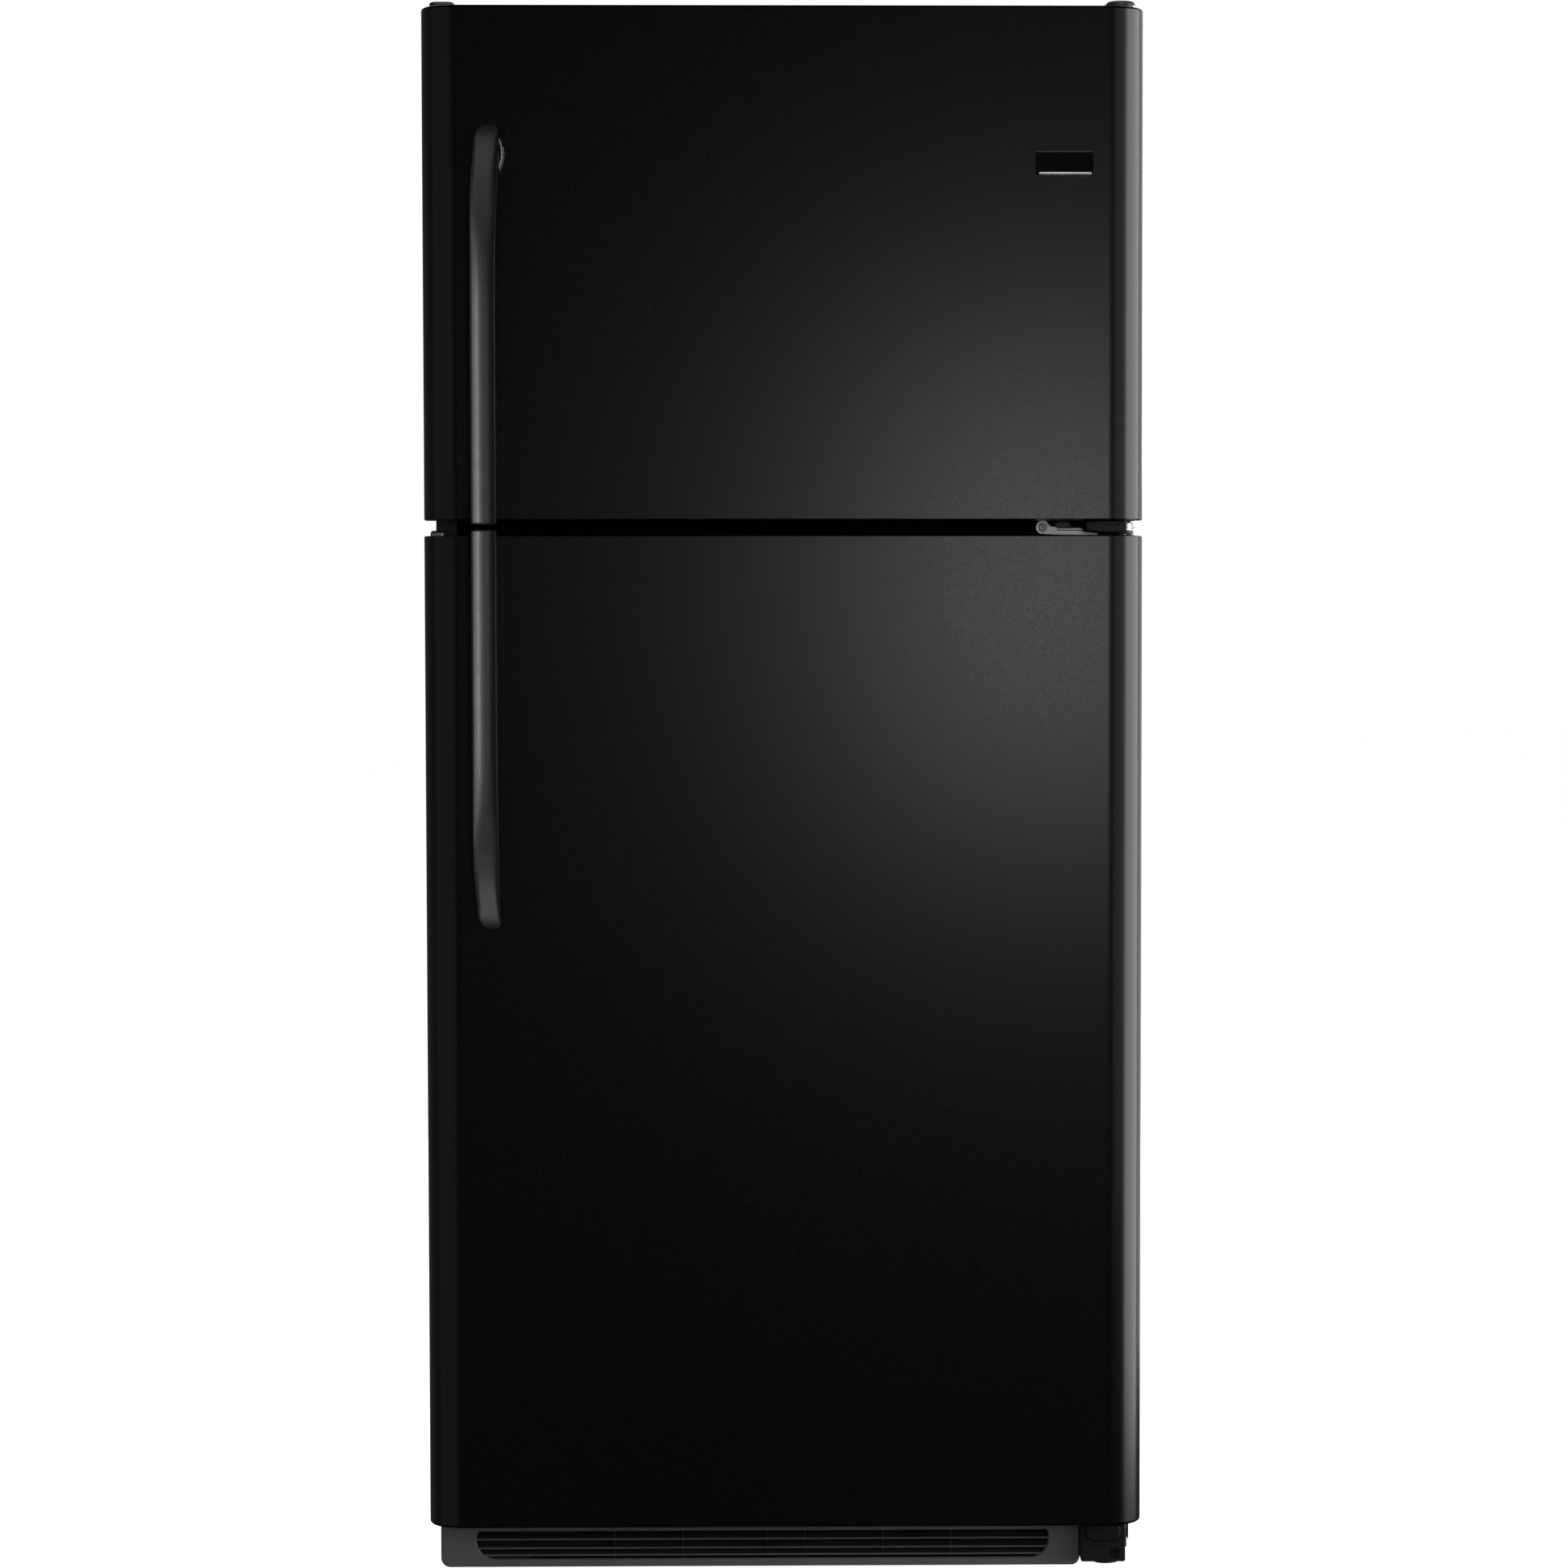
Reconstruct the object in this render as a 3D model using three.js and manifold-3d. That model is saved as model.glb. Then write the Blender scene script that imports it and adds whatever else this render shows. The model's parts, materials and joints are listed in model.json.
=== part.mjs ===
// A free-standing two-door refrigerator with the freezer on top: foamed steel cabinet, two hinged doors,
// shelves and drawers inside, and a fan-cooled machine compartment low at the back.
// Millimetres. +Z is up, the doors face -Y, and +X is the hinge side.
// The origin is on the floor, under the middle of the overall box.
import * as THREE from "three";
import { mergeVertices } from "three/addons/utils/BufferGeometryUtils.js";
import Module from "manifold-3d";

const wasm = await Module();
wasm.setup();

// ---------------------------------------------------------------- driving dimensions
const HEIGHT = 1679; // floor to the top of the hinge cover
const DEPTH = 796; // front of the handles to the back
const DOOR_WIDTH = 762;
const CABINET_WIDTH = 744;
const DOOR_THICKNESS = 70;
const HANDLE_REACH = 50; // how far the handles stand ahead of the doors
const GASKET_GAP = 12; // between a shut door and the cabinet
const SHEET = 1; // steel sheet
const WALL = 2.5; // plastic wall
const FIT = 0.3; // gap left between pieces that touch

// ---------------------------------------------------------------- places worked out from them
const BACK = DEPTH / 2;
const HANDLE_FRONT = -DEPTH / 2;
const DOOR_FRONT = HANDLE_FRONT + HANDLE_REACH;
const DOOR_BACK = DOOR_FRONT + DOOR_THICKNESS;
const CABINET_FRONT = DOOR_BACK + GASKET_GAP;
const SIDE = CABINET_WIDTH / 2;
const DOOR_SIDE = DOOR_WIDTH / 2;
const CABINET_TOP = HEIGHT - 8;
const CABINET_FOOT = 30;
const FLANGE = 22; // width of the steel edge round the front of the cabinet

// Each door: its lowest and highest point, and the half width of the raised ring on its inner side.
const FRIDGE_DOOR = { low: 61, high: 1116, ring: 318, edge: 8 };
const FREEZER_DOOR = { low: 1133, high: CABINET_TOP - 1, ring: 300, edge: 5 };
const CORNER_WIDTH = 34; // rounding of a door's upright edges, across and in depth
const CORNER_DEPTH = 40;
const CAP_INSERT = 14; // how far an end cap reaches into the door
const CAP_LIP = 5;

// The two compartments, measured inside their liners.
const FRESH = { half: 328, floor: 110, ceiling: 1095, back: 345 };
const FREEZER = { half: 313, floor: 1155, ceiling: 1618, back: 340 };
const HUMP = { front: 190, top: 310 }; // the fresh compartment's floor steps up over the machinery
const MACHINE = { front: 233, top: 266 };
const BASE = 60; // underside of the cabinet's floor

// The upright line that both doors turn about.
const HINGE_X = 360;
const HINGE_Y = -306;
const PIN_RADIUS = 5;
const BORE_RADIUS = 5.8;

const ROUND = 20; // sides of a round piece
const UP = new THREE.Vector3(0, 0, 1);
const ACROSS = new THREE.Vector3(1, 0, 0);
const INWARD = new THREE.Vector3(0, 1, 0);

// ---------------------------------------------------------------- materials
const finish = (color, roughness, metalness = 0) =>
  new THREE.MeshStandardMaterial({ color, roughness, metalness });
const blackPaint = finish(0x0b0b0b, 0.35);
const blackPlastic = finish(0x141414, 0.45);
const handlePlastic = finish(0x1b1b1c, 0.4);
const blackRubber = finish(0x0a0a0a, 0.8);
const whitePlastic = finish(0xf0f1ee, 0.35);
const clearPlastic = finish(0xdfe7ea, 0.1);
const glass = finish(0xd4e4de, 0.05);
const foam = finish(0xe6d8a4, 0.9);
const steel = finish(0x9a9c9e, 0.35, 1);
const zinc = finish(0xa8abac, 0.45, 1);
const blackSteel = finish(0x161616, 0.5, 0.5);
const aluminium = finish(0xc8cacc, 0.4, 1);

// ---------------------------------------------------------------- solids
// A closed three.js geometry as a solid that can be joined and cut.
function solid(geometry) {
  geometry.deleteAttribute("normal");
  geometry.deleteAttribute("uv");
  const merged = mergeVertices(geometry, 1e-3);
  const corners = [];
  for (let i = 0; i < merged.index.count; i += 3) {
    const [a, b, c] = [0, 1, 2].map((k) => merged.index.getX(i + k));
    if (a !== b && b !== c && a !== c) corners.push(a, b, c);
  }
  const vertProperties = merged.attributes.position.array;
  return new wasm.Manifold(
    new wasm.Mesh({ numProp: 3, vertProperties, triVerts: new Uint32Array(corners) }),
  );
}

// A box from the low and high value along each axis.
function block([x0, x1], [y0, y1], [z0, z1]) {
  const geometry = new THREE.BoxGeometry(x1 - x0, y1 - y0, z1 - z0);
  return solid(geometry.translate((x0 + x1) / 2, (y0 + y1) / 2, (z0 + z1) / 2));
}

const extruded = (shape, depth, curveSegments = 12) =>
  new THREE.ExtrudeGeometry(shape, { depth, bevelEnabled: false, curveSegments });

// An outline drawn in x and y, raised from z0 to z1.
const upright = (shape, [z0, z1], segments) =>
  solid(extruded(shape, z1 - z0, segments).translate(0, 0, z0));

// An outline drawn in y and z, carried from x0 to x1.
function sideways(shape, [x0, x1], segments) {
  const turn = new THREE.Matrix4().makeBasis(INWARD, UP, ACROSS).setPosition(x0, 0, 0);
  return solid(extruded(shape, x1 - x0, segments).applyMatrix4(turn));
}

// A straight-edged outline.
const outline = (...points) => new THREE.Shape(points.map(([u, v]) => new THREE.Vector2(u, v)));

// A profile of [radius, height] points turned about an axis through a place.
function turned(profile, axis, [x, y, z], sides = ROUND) {
  const points = profile.map(([r, h]) => new THREE.Vector2(r, h));
  const geometry = new THREE.LatheGeometry(points, sides);
  if (axis === UP) geometry.rotateX(Math.PI / 2);
  if (axis === ACROSS) geometry.rotateZ(-Math.PI / 2);
  return solid(geometry.translate(x, y, z));
}

// A round bar from low to high along an axis, with a place on that axis.
const rod = (radius, [low, high], axis, place, sides) =>
  turned([[0, low], [radius, low], [radius, high], [0, high]], axis, place, sides);

const joined = (...solids) => solids.reduce((whole, next) => whole.add(next));
const cut = (whole, ...solids) => solids.reduce((left, next) => left.subtract(next), whole);

// A box with walls of one thickness, open at the top.
function tray([x0, x1], [y0, y1], [z0, z1], wall = WALL) {
  return cut(
    block([x0, x1], [y0, y1], [z0, z1]),
    block([x0 + wall, x1 - wall], [y0 + wall, y1 - wall], [z0 + wall, z1 + 1]),
  );
}

const fridge = new THREE.Group();

// Adds a solid to the refrigerator as one named mesh, built in place or moved there.
function add(name, made, material, place = [0, 0, 0], parent = fridge) {
  const { vertProperties, triVerts } = made.getMesh();
  const geometry = new THREE.BufferGeometry();
  geometry.setAttribute("position", new THREE.BufferAttribute(vertProperties, 3));
  geometry.setIndex(new THREE.BufferAttribute(triVerts, 1));
  geometry.computeVertexNormals();
  const mesh = new THREE.Mesh(geometry, material);
  mesh.name = name;
  mesh.position.set(...place);
  parent.add(mesh);
  return mesh;
}

// ---------------------------------------------------------------- cabinet
// Steel wrapper: sides and top in one folded sheet, with edges turned in at the front and the back.
function cabinetShell() {
  const inner = SIDE - SHEET;
  const back = BACK - SHEET - FIT;
  const backEdge = SIDE - 14;
  const opening = SIDE - FLANGE;
  return cut(
    block([-SIDE, SIDE], [CABINET_FRONT, back], [CABINET_FOOT, CABINET_TOP]),
    block([-inner, inner], [CABINET_FRONT + SHEET, back - SHEET], [0, CABINET_TOP - SHEET]),
    block([-backEdge, backEdge], [back - 5, back + 5], [0, CABINET_TOP - 14]),
    block([-opening, opening], [CABINET_FRONT - 5, CABINET_FRONT + 5], [BASE + 14.7, CABINET_TOP - 16.7]),
    block([-inner, inner], [CABINET_FRONT - 5, CABINET_FRONT + 5], [0, BASE + SHEET]),
  );
}

function backPanel() {
  const half = SIDE - 0.5;
  return block([-half, half], [BACK - SHEET, BACK], [MACHINE.top + 34, CABINET_TOP - 0.5]);
}

// The space inside a liner, grown by a margin, from the front of the cabinet to the back of the space.
function freshSpace(grow) {
  const { half, floor, ceiling, back } = FRESH;
  return cut(
    block([-half - grow, half + grow], [CABINET_FRONT - 5, back + grow], [floor - grow, ceiling + grow]),
    block([-half - 9, half + 9], [HUMP.front + grow, BACK], [0, HUMP.top - grow]),
  );
}

function freezerSpace(grow) {
  const { half, floor, ceiling, back } = FREEZER;
  return block(
    [-half - grow, half + grow],
    [CABINET_FRONT - 5, back + grow],
    [floor - grow, ceiling + grow],
  );
}

const RAIL = { low: 1103, high: 1147, depth: 11 }; // the steel bar between the two openings

function centerRail() {
  const half = SIDE - FLANGE - FIT;
  const sheet = 1.5;
  return cut(
    block([-half, half], [CABINET_FRONT, CABINET_FRONT + RAIL.depth], [RAIL.low, RAIL.high]),
    block(
      [-half - 1, half + 1],
      [CABINET_FRONT + sheet, CABINET_FRONT + RAIL.depth + 1],
      [RAIL.low + sheet, RAIL.high - sheet],
    ),
  );
}

const LINER_EDGE = CABINET_FRONT + WALL; // back of the liners' front flange
const LEDGE_HEIGHTS = [358, 480, 609, 715, 829, 935]; // where a shelf can rest
const LEDGE_WIDTH = 8;
const SHELF_FRONT = -150;

function ledges(half, heights, back) {
  const parts = heights.flatMap((top) =>
    [-1, 1].map((side) => {
      const x = [side * (half - LEDGE_WIDTH), side * (half + 1)].sort((a, b) => a - b);
      return block(x, [SHELF_FRONT + 10, back], [top - 9, top - FIT]);
    }),
  );
  return joined(...parts);
}

function linerFlange(low, high) {
  const half = SIDE - FLANGE - FIT;
  return block([-half, half], [CABINET_FRONT, LINER_EDGE], [low, high]);
}

// Formed plastic tub of the lower compartment, with its shelf ledges.
function freshFoodLiner() {
  const skin = freshSpace(WALL).subtract(block([-400, 400], [-400, CABINET_FRONT], [0, HEIGHT]));
  const flange = linerFlange(BASE + 15, RAIL.low - FIT);
  return joined(cut(joined(skin, flange), freshSpace(0)), ledges(FRESH.half, LEDGE_HEIGHTS, 280));
}

const FREEZER_LEDGE = 1356;

function freezerLiner() {
  const skin = freezerSpace(WALL).subtract(block([-400, 400], [-400, CABINET_FRONT], [0, HEIGHT]));
  const flange = linerFlange(RAIL.high + FIT, CABINET_TOP - 17);
  return joined(cut(joined(skin, flange), freezerSpace(0)), ledges(FREEZER.half, [FREEZER_LEDGE], 255));
}

// Polyurethane foamed in place between the wrapper and the liners.
function foamInsulation() {
  const half = SIDE - SHEET - FIT;
  const front = LINER_EDGE + FIT;
  const back = BACK - 2 * SHEET - 2 * FIT;
  const gap = WALL + FIT;
  return cut(
    block([-half, half], [front, back], [BASE + SHEET + FIT, CABINET_TOP - SHEET - FIT]),
    freshSpace(gap),
    freezerSpace(gap),
    block([-half - 1, half + 1], [MACHINE.front - SHEET - FIT, BACK], [0, MACHINE.top + SHEET + FIT]),
    block([-SIDE, SIDE], [front - 1, CABINET_FRONT + RAIL.depth + FIT], [RAIL.low - FIT, RAIL.high + FIT]),
  );
}

// The cabinet's folded floor: flat at the front, then up and over the machine compartment.
function basePan() {
  const { front, top } = MACHINE;
  const y0 = CABINET_FRONT + 2;
  const y1 = BACK - 2 * SHEET - 2 * FIT;
  const half = SIDE - SHEET - FIT;
  const profile = outline(
    [y0, BASE], [front, BASE], [front, top], [y1, top],
    [y1, top + SHEET], [front - SHEET, top + SHEET], [front - SHEET, BASE + SHEET], [y0, BASE + SHEET],
  );
  return sideways(profile, [-half, half]);
}

// ---------------------------------------------------------------- base and machine compartment
const FRAME = { front: -258, back: 392, low: 20, high: BASE - FIT, inner: 331, sheet: 2 };
const LEG = { x: 349, y: -236 };
const ROLLER = { x: 350, y: 350, radius: 20, width: 16 };
const PLATE_TOP = 25; // the plate that the compressor stands on

// A channel, open below, that holds a leg at the front and a roller at the back.
function channel(side) {
  const { front, back, low, high, inner, sheet } = FRAME;
  const outer = SIDE - SHEET - FIT;
  const place = (a, b) => [side * a, side * b].sort((p, q) => p - q);
  const shell = cut(
    block(place(inner, outer), [front, back], [low, high]),
    block(place(inner + sheet, outer - sheet), [front + sheet, back - sheet], [low - 1, high - sheet]),
  );
  const boss = block(place(inner + 1, outer - 1), [LEG.y - 12, LEG.y + 12], [32, 40]);
  return cut(joined(shell, boss), rod(6.2, [0, 50], UP, [side * LEG.x, LEG.y, 0], 12));
}

function baseFrame() {
  const { front, back, inner, sheet, high } = FRAME;
  return joined(
    channel(-1),
    channel(1),
    block([-inner - 1, inner + 1], [240, back - 1], [PLATE_TOP - 3, PLATE_TOP]),
    block([-inner - 1, inner + 1], [240, 240 + sheet], [PLATE_TOP - 3, PLATE_TOP + 14]),
    block([-inner - 1, inner + 1], [front, front + sheet], [24, high]),
  );
}

function compressor() {
  const [x, y] = [-190, 316];
  const seat = PLATE_TOP + 12;
  const pot = turned(
    [[0, 0], [58, 0], [70, 14], [73, 66], [78, 68], [78, 72], [72, 74], [68, 132], [50, 150], [0, 155]],
    UP,
    [x, y, seat + 6],
  );
  const feet = block([x - 92, x + 92], [y - 52, y + 52], [seat, seat + 8]);
  const posts = [-80, 80].flatMap((dx) =>
    [-40, 40].map((dy) => rod(9, [PLATE_TOP + FIT, seat + 1], UP, [x + dx, y + dy, 0], 12)),
  );
  const terminals = block([x + 66, x + 98], [y - 30, y + 30], [seat + 30, seat + 88]);
  const stub = rod(5, [0, 22], UP, [x - 30, y, seat + 150], 10);
  return joined(pot, feet, ...posts, terminals, stub);
}

// One tube in flat loops that climb at the front and come down again behind.
function condenserCoil() {
  const [left, right, low] = [140, 306, 84];
  const pitch = 24;
  const runs = 6;
  const points = [];
  for (let run = 0; run < 2 * runs; run++) {
    const behind = run >= runs;
    const y = behind ? 352 : 276;
    const z = low + pitch * (behind ? 2 * runs - 1 - run : run);
    const ends = run % 2 ? [right, left] : [left, right];
    const turn = run % 2 ? -1 : 1;
    points.push(new THREE.Vector3(ends[0], y, z), new THREE.Vector3((left + right) / 2, y, z));
    points.push(new THREE.Vector3(ends[1], y, z));
    const last = run === runs - 1;
    const rise = last ? 0 : (behind ? -pitch : pitch) / 2;
    const outward = ends[1] + turn * (last ? 8 : 11);
    points.push(new THREE.Vector3(outward, last ? (276 + 352) / 2 : y, z + rise));
  }
  points.pop();
  const path = new THREE.CatmullRomCurve3(points, false, "centripetal");
  const section = new THREE.Shape().absarc(0, 0, 4, 0, 2 * Math.PI);
  const steps = Math.round(points.length * 1.5);
  return solid(new THREE.ExtrudeGeometry(section, { steps, extrudePath: path, curveSegments: 3 }));
}

const FAN = { x: 56, y: 316, z: 138, radius: 60 }; // cools the condenser, turning about X
const FAN_SHAFT = 3;

// A hub with pitched blades, centred on the origin and turning about an axis.
function fanBlades(radius, hub, blades, axis) {
  const depth = 16;
  const bore = FAN_SHAFT + 0.8;
  const ring = turned(
    [[bore, -depth / 2], [hub, -depth / 2], [hub, depth / 2], [bore, depth / 2], [bore, -depth / 2]],
    axis,
    [0, 0, 0],
    16,
  );
  const wings = Array.from({ length: blades }, (_, i) => {
    const wing = new THREE.BoxGeometry(radius * 0.62, 2, radius - hub + 3);
    wing.rotateZ(0.45).translate(0, 0, (radius + hub - 3) / 2);
    if (axis === ACROSS) wing.rotateZ(-Math.PI / 2);
    const spin = (i * 2 * Math.PI) / blades;
    return solid(axis === ACROSS ? wing.rotateX(spin) : wing.rotateY(spin));
  });
  return joined(ring, ...wings);
}

// Shroud plate, motor and its cross-bar, with the shaft that carries the blades.
function condenserFanMotor() {
  const { x, y, z, radius } = FAN;
  const plate = cut(
    block([x + 14, x + 17], [y - 70, y + 68], [PLATE_TOP + FIT, 250]),
    rod(radius + 6, [x, x + 30], ACROSS, [0, y, z]),
  );
  const bar = block([x + 16, x + 22], [y - 70, y + 68], [z - 7, z + 7]);
  const motor = rod(27, [x + 21, x + 62], ACROSS, [0, y, z], 16);
  const shaft = rod(FAN_SHAFT, [x - 12, x + 22], ACROSS, [0, y, z], 12);
  return joined(plate, bar, motor, shaft);
}

// The cover that closes the machine compartment, with air slots and the gland for a supply lead.
function rearAccessCover() {
  const half = SIDE - 0.5;
  const slot = (x, z) => block([x, x + 96], [BACK - 9, BACK + 5], [z, z + 6]);
  const slots = [];
  for (let row = 0; row < 6; row++) {
    slots.push(slot(-300, 90 + 26 * row), slot(204, 90 + 26 * row));
  }
  const plate = block([-half, half], [BACK - SHEET, BACK], [32, MACHINE.top + 33]);
  const [x, z] = [-60, 66];
  const boss = block([x - 15, x + 15], [BACK - 7, BACK], [z - 15, z + 15]);
  const hole = block([x - 7, x + 7], [BACK - 9, BACK + 5], [z - 7, z + 7]);
  return cut(joined(plate, boss), ...slots, hole);
}

// ---------------------------------------------------------------- front of the base
const GRILLE = { left: -368, right: 317, front: -300, low: 9, high: 57, wall: 2.5 };

// The opening is rounded at its lower corners.
function grilleOpening({ left, right, low, high }, [front, back]) {
  const corner = 16;
  const shape = new THREE.Shape().moveTo(left, high).lineTo(left, low + corner);
  shape.absarc(left + corner, low + corner, corner, Math.PI, 1.5 * Math.PI);
  shape.lineTo(right - corner, low);
  shape.absarc(right - corner, low + corner, corner, 1.5 * Math.PI, 2 * Math.PI);
  shape.lineTo(right, high);
  const stand = new THREE.Matrix4().makeRotationX(Math.PI / 2).setPosition(0, back, 0);
  return solid(extruded(shape, back - front, 6).applyMatrix4(stand));
}

// Kick plate whose middle is a long opening, filled by slanted slats and upright ribs.
function toeGrille() {
  const { left, right, front, low, high, wall } = GRILLE;
  const opening = { left: -330, right: 280, low: 16, high: 53 };
  const plate = cut(
    block([left, right], [front, FRAME.front - FIT], [low, high]),
    block([left + wall, right - wall], [front + wall, 0], [low + wall, high - wall]),
    grilleOpening(opening, [front - 5, front + 5]),
  );
  const slats = [47, 37.5, 28, 18.5].map((z) => {
    const slat = new THREE.BoxGeometry(opening.right - opening.left - 4, 9, 1.6);
    slat.rotateX(-0.5).translate((opening.left + opening.right) / 2, front + 5, z);
    return solid(slat);
  });
  const ribs = [-184, -110, 0, 105, 178].map((x) =>
    block([x - 1, x + 1], [front + 1.5, front + 10], [low + 1, high - 1]),
  );
  return joined(plate, ...slats, ...ribs);
}

// ---------------------------------------------------------------- hinges
const TONGUE = 14; // half width of a hinge plate round its pin
const pin = (low, high) => rod(PIN_RADIUS, [low, high], UP, [HINGE_X, HINGE_Y, 0], 12);
const nose = (radius, low, high) => rod(radius, [low, high], UP, [HINGE_X, HINGE_Y, 0], 20);

// A plate on the cabinet's top whose pin reaches down into the freezer door.
function topHinge() {
  const [low, high] = [CABINET_TOP + FIT, CABINET_TOP + 3];
  return joined(
    block([292, SIDE - 3], [CABINET_FRONT + 5, -192], [low, high]),
    block([HINGE_X - TONGUE, SIDE - 3], [HINGE_Y, CABINET_FRONT + 6], [low, high]),
    nose(TONGUE, low, high),
    pin(FREEZER_DOOR.high - 16, high),
  );
}

function topHingeCover() {
  const [low, high] = [CABINET_TOP + FIT, HEIGHT];
  const roof = 1.8;
  const body = (inset, z) =>
    joined(
      block([286 + inset, SIDE - inset], [CABINET_FRONT + 2 + inset, -184 - inset], z),
      block([HINGE_X - 17 + inset, HINGE_X + 17 - inset], [HINGE_Y, CABINET_FRONT + 4 + inset], z),
      nose(17 - inset, ...z),
    );
  return cut(body(0, [low, high]), body(1.6, [low - 1, high - roof]));
}

// Bolted to the bar between the openings: one pin reaches up, the other down.
function centerHinge() {
  const face = CABINET_FRONT - FIT;
  const low = FRIDGE_DOOR.high + 2;
  const plateTop = low + 3;
  const ear = { x: 277.5, z: 1126, radius: 7 };
  return joined(
    roundEar(ear, face, 3, ear.radius),
    roundEar(ear, face, 6, 4.6),
    block([ear.x, SIDE - 26], [face - 3, face], [low, ear.z - 1]),
    block([296, SIDE - 26], [face - 9, face - 1], [ear.z - 2, ear.z + 1.5]),
    block([HINGE_X - 60, SIDE - 4], [HINGE_Y, face - 1], [low, plateTop]),
    block([HINGE_X - 38, HINGE_X + 2], [-294, face - 1], [plateTop - 1, FREEZER_DOOR.low - 1.5]),
    nose(12, low, plateTop),
    nose(9, plateTop - 1, FREEZER_DOOR.low - 1),
    pin(FRIDGE_DOOR.high - 16, FREEZER_DOOR.low + 16),
  );
}

// A disc on the face of the cabinet.
function roundEar({ x, z }, face, depth, radius) {
  const disc = extruded(new THREE.Shape().absarc(0, 0, radius, 0, 2 * Math.PI), depth, 8);
  return solid(disc.applyMatrix4(new THREE.Matrix4().makeRotationX(Math.PI / 2)).translate(x, face, z));
}

// Bolted to the front of the base: its pin carries the lower door.
function bottomHinge() {
  const top = FRIDGE_DOOR.low - 8;
  const face = FRAME.front - FIT;
  return joined(
    block([334, SIDE - 6], [face - 3, face], [28, top]),
    block([334, SIDE - 6], [HINGE_Y, face], [top - 4, top]),
    nose(7, top - 4, FRIDGE_DOOR.low - 0.6),
    pin(top - 1, FRIDGE_DOOR.low + 17),
  );
}

function bottomHingeCover() {
  const [left, right] = [GRILLE.right + 3, 369];
  const [front, back] = [-324, FRAME.front - FIT];
  const [low, high] = [17, 57];
  const wall = 1.5;
  return cut(
    block([left, right], [front, back], [low, high]),
    block([left + wall, right - wall], [front + wall, back + 1], [low - 1, high - wall]),
    rod(7.8, [high - 5, high + 5], UP, [HINGE_X, HINGE_Y, 0]),
    block([HINGE_X - 7.8, HINGE_X + 7.8], [HINGE_Y, back + 1], [high - 5, high + 5]),
  );
}

// ---------------------------------------------------------------- doors
// A door seen from above: square at the back, with both front edges rounded. Shrunk by an inset all round.
function doorOutline(inset = 0) {
  const x = DOOR_SIDE - inset;
  const back = DOOR_BACK - inset;
  const rx = CORNER_WIDTH - inset;
  const ry = CORNER_DEPTH - inset;
  const front = DOOR_FRONT + inset;
  const shape = new THREE.Shape().moveTo(-x, back).lineTo(-x, front + ry);
  shape.absellipse(-x + rx, front + ry, rx, ry, Math.PI, 1.5 * Math.PI);
  shape.lineTo(x - rx, front);
  shape.absellipse(x - rx, front + ry, rx, ry, 1.5 * Math.PI, 2 * Math.PI);
  shape.lineTo(x, back);
  return shape;
}

// Painted steel pan, bent round the front and sides and turned in along the back edges.
function doorSkin({ low, high, edge }) {
  const z = [low + edge + FIT, high - CAP_LIP - FIT];
  const inner = doorOutline(SHEET);
  const opening = DOOR_SIDE - 13;
  return cut(
    upright(doorOutline(), z),
    upright(inner, [z[0] - 1, z[1] + 1]),
    block([-opening, opening], [DOOR_BACK - 3, DOOR_BACK + 3], [0, HEIGHT]),
  );
}

// A door's outline raised from z0 to z1, with its upper and lower edges rounded over.
function roundedLip(radius, [z0, z1]) {
  const size = radius - 1;
  const geometry = new THREE.ExtrudeGeometry(doorOutline(), {
    depth: z1 - z0 - 2 * size,
    bevelThickness: size,
    bevelSize: size,
    bevelOffset: -size,
    bevelSegments: 3,
    curveSegments: 12,
  });
  return solid(geometry.translate(0, 0, z0 + size));
}

// End caps: a lip that shows and an insert that plugs the pan. Both have a hinge bore at either side.
function doorCap({ low, high, edge }, top) {
  const lip = top ? [high - CAP_LIP, high] : [low, low + edge];
  const insert = top
    ? [high - CAP_LIP - CAP_INSERT, high - 1]
    : [low + 1, low + edge + CAP_INSERT];
  const bores = [-1, 1].map((side) =>
    rod(BORE_RADIUS, [insert[0] - 9, insert[1] + 9], UP, [side * HINGE_X, HINGE_Y, 0], 12),
  );
  const radius = top ? CAP_LIP : edge;
  const softened = roundedLip(radius, top ? [lip[0] - radius, lip[1]] : [lip[0], lip[1] + radius]);
  const shown = softened.intersect(block([-400, 400], [-400, 0], lip));
  return cut(joined(shown, upright(doorOutline(2 * SHEET), insert)), ...bores);
}

const RING_WIDTH = 25; // the raised ring of the inner panel
const RING_REACH = 45; // how far it reaches into the cabinet
const POCKET = 7; // how deep the panel is let into the door inside the ring

// Half width and height range of the ring, shrunk by an inset.
function ringBox({ low, high, ring }, inset) {
  const clear = low === FRIDGE_DOOR.low ? [59, 33] : [33, 64];
  return [[-ring + inset, ring - inset], [low + clear[0] + inset, high - clear[1] - inset]];
}

function ringBlock(door, inset, y) {
  const [x, z] = ringBox(door, inset);
  return block(x, y, z);
}

// Formed plastic inner panel: flat edge, raised ring and the pocket inside it.
function doorLiner(door) {
  const plate = [DOOR_BACK + FIT, DOOR_BACK + FIT + WALL];
  const reach = DOOR_BACK + RING_REACH;
  const flange = block([-DOOR_SIDE + 9, DOOR_SIDE - 9], plate, [door.low + 6, door.high - 6]);
  const shell = cut(
    joined(flange, ringBlock(door, 0, [plate[0], reach])),
    ringBlock(door, WALL, [plate[0] - 1, reach - WALL]),
  );
  const floor = DOOR_BACK - POCKET;
  return cut(
    joined(shell, ringBlock(door, RING_WIDTH - WALL, [floor, reach])),
    ringBlock(door, RING_WIDTH, [floor + WALL, reach + 1]),
  );
}

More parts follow.
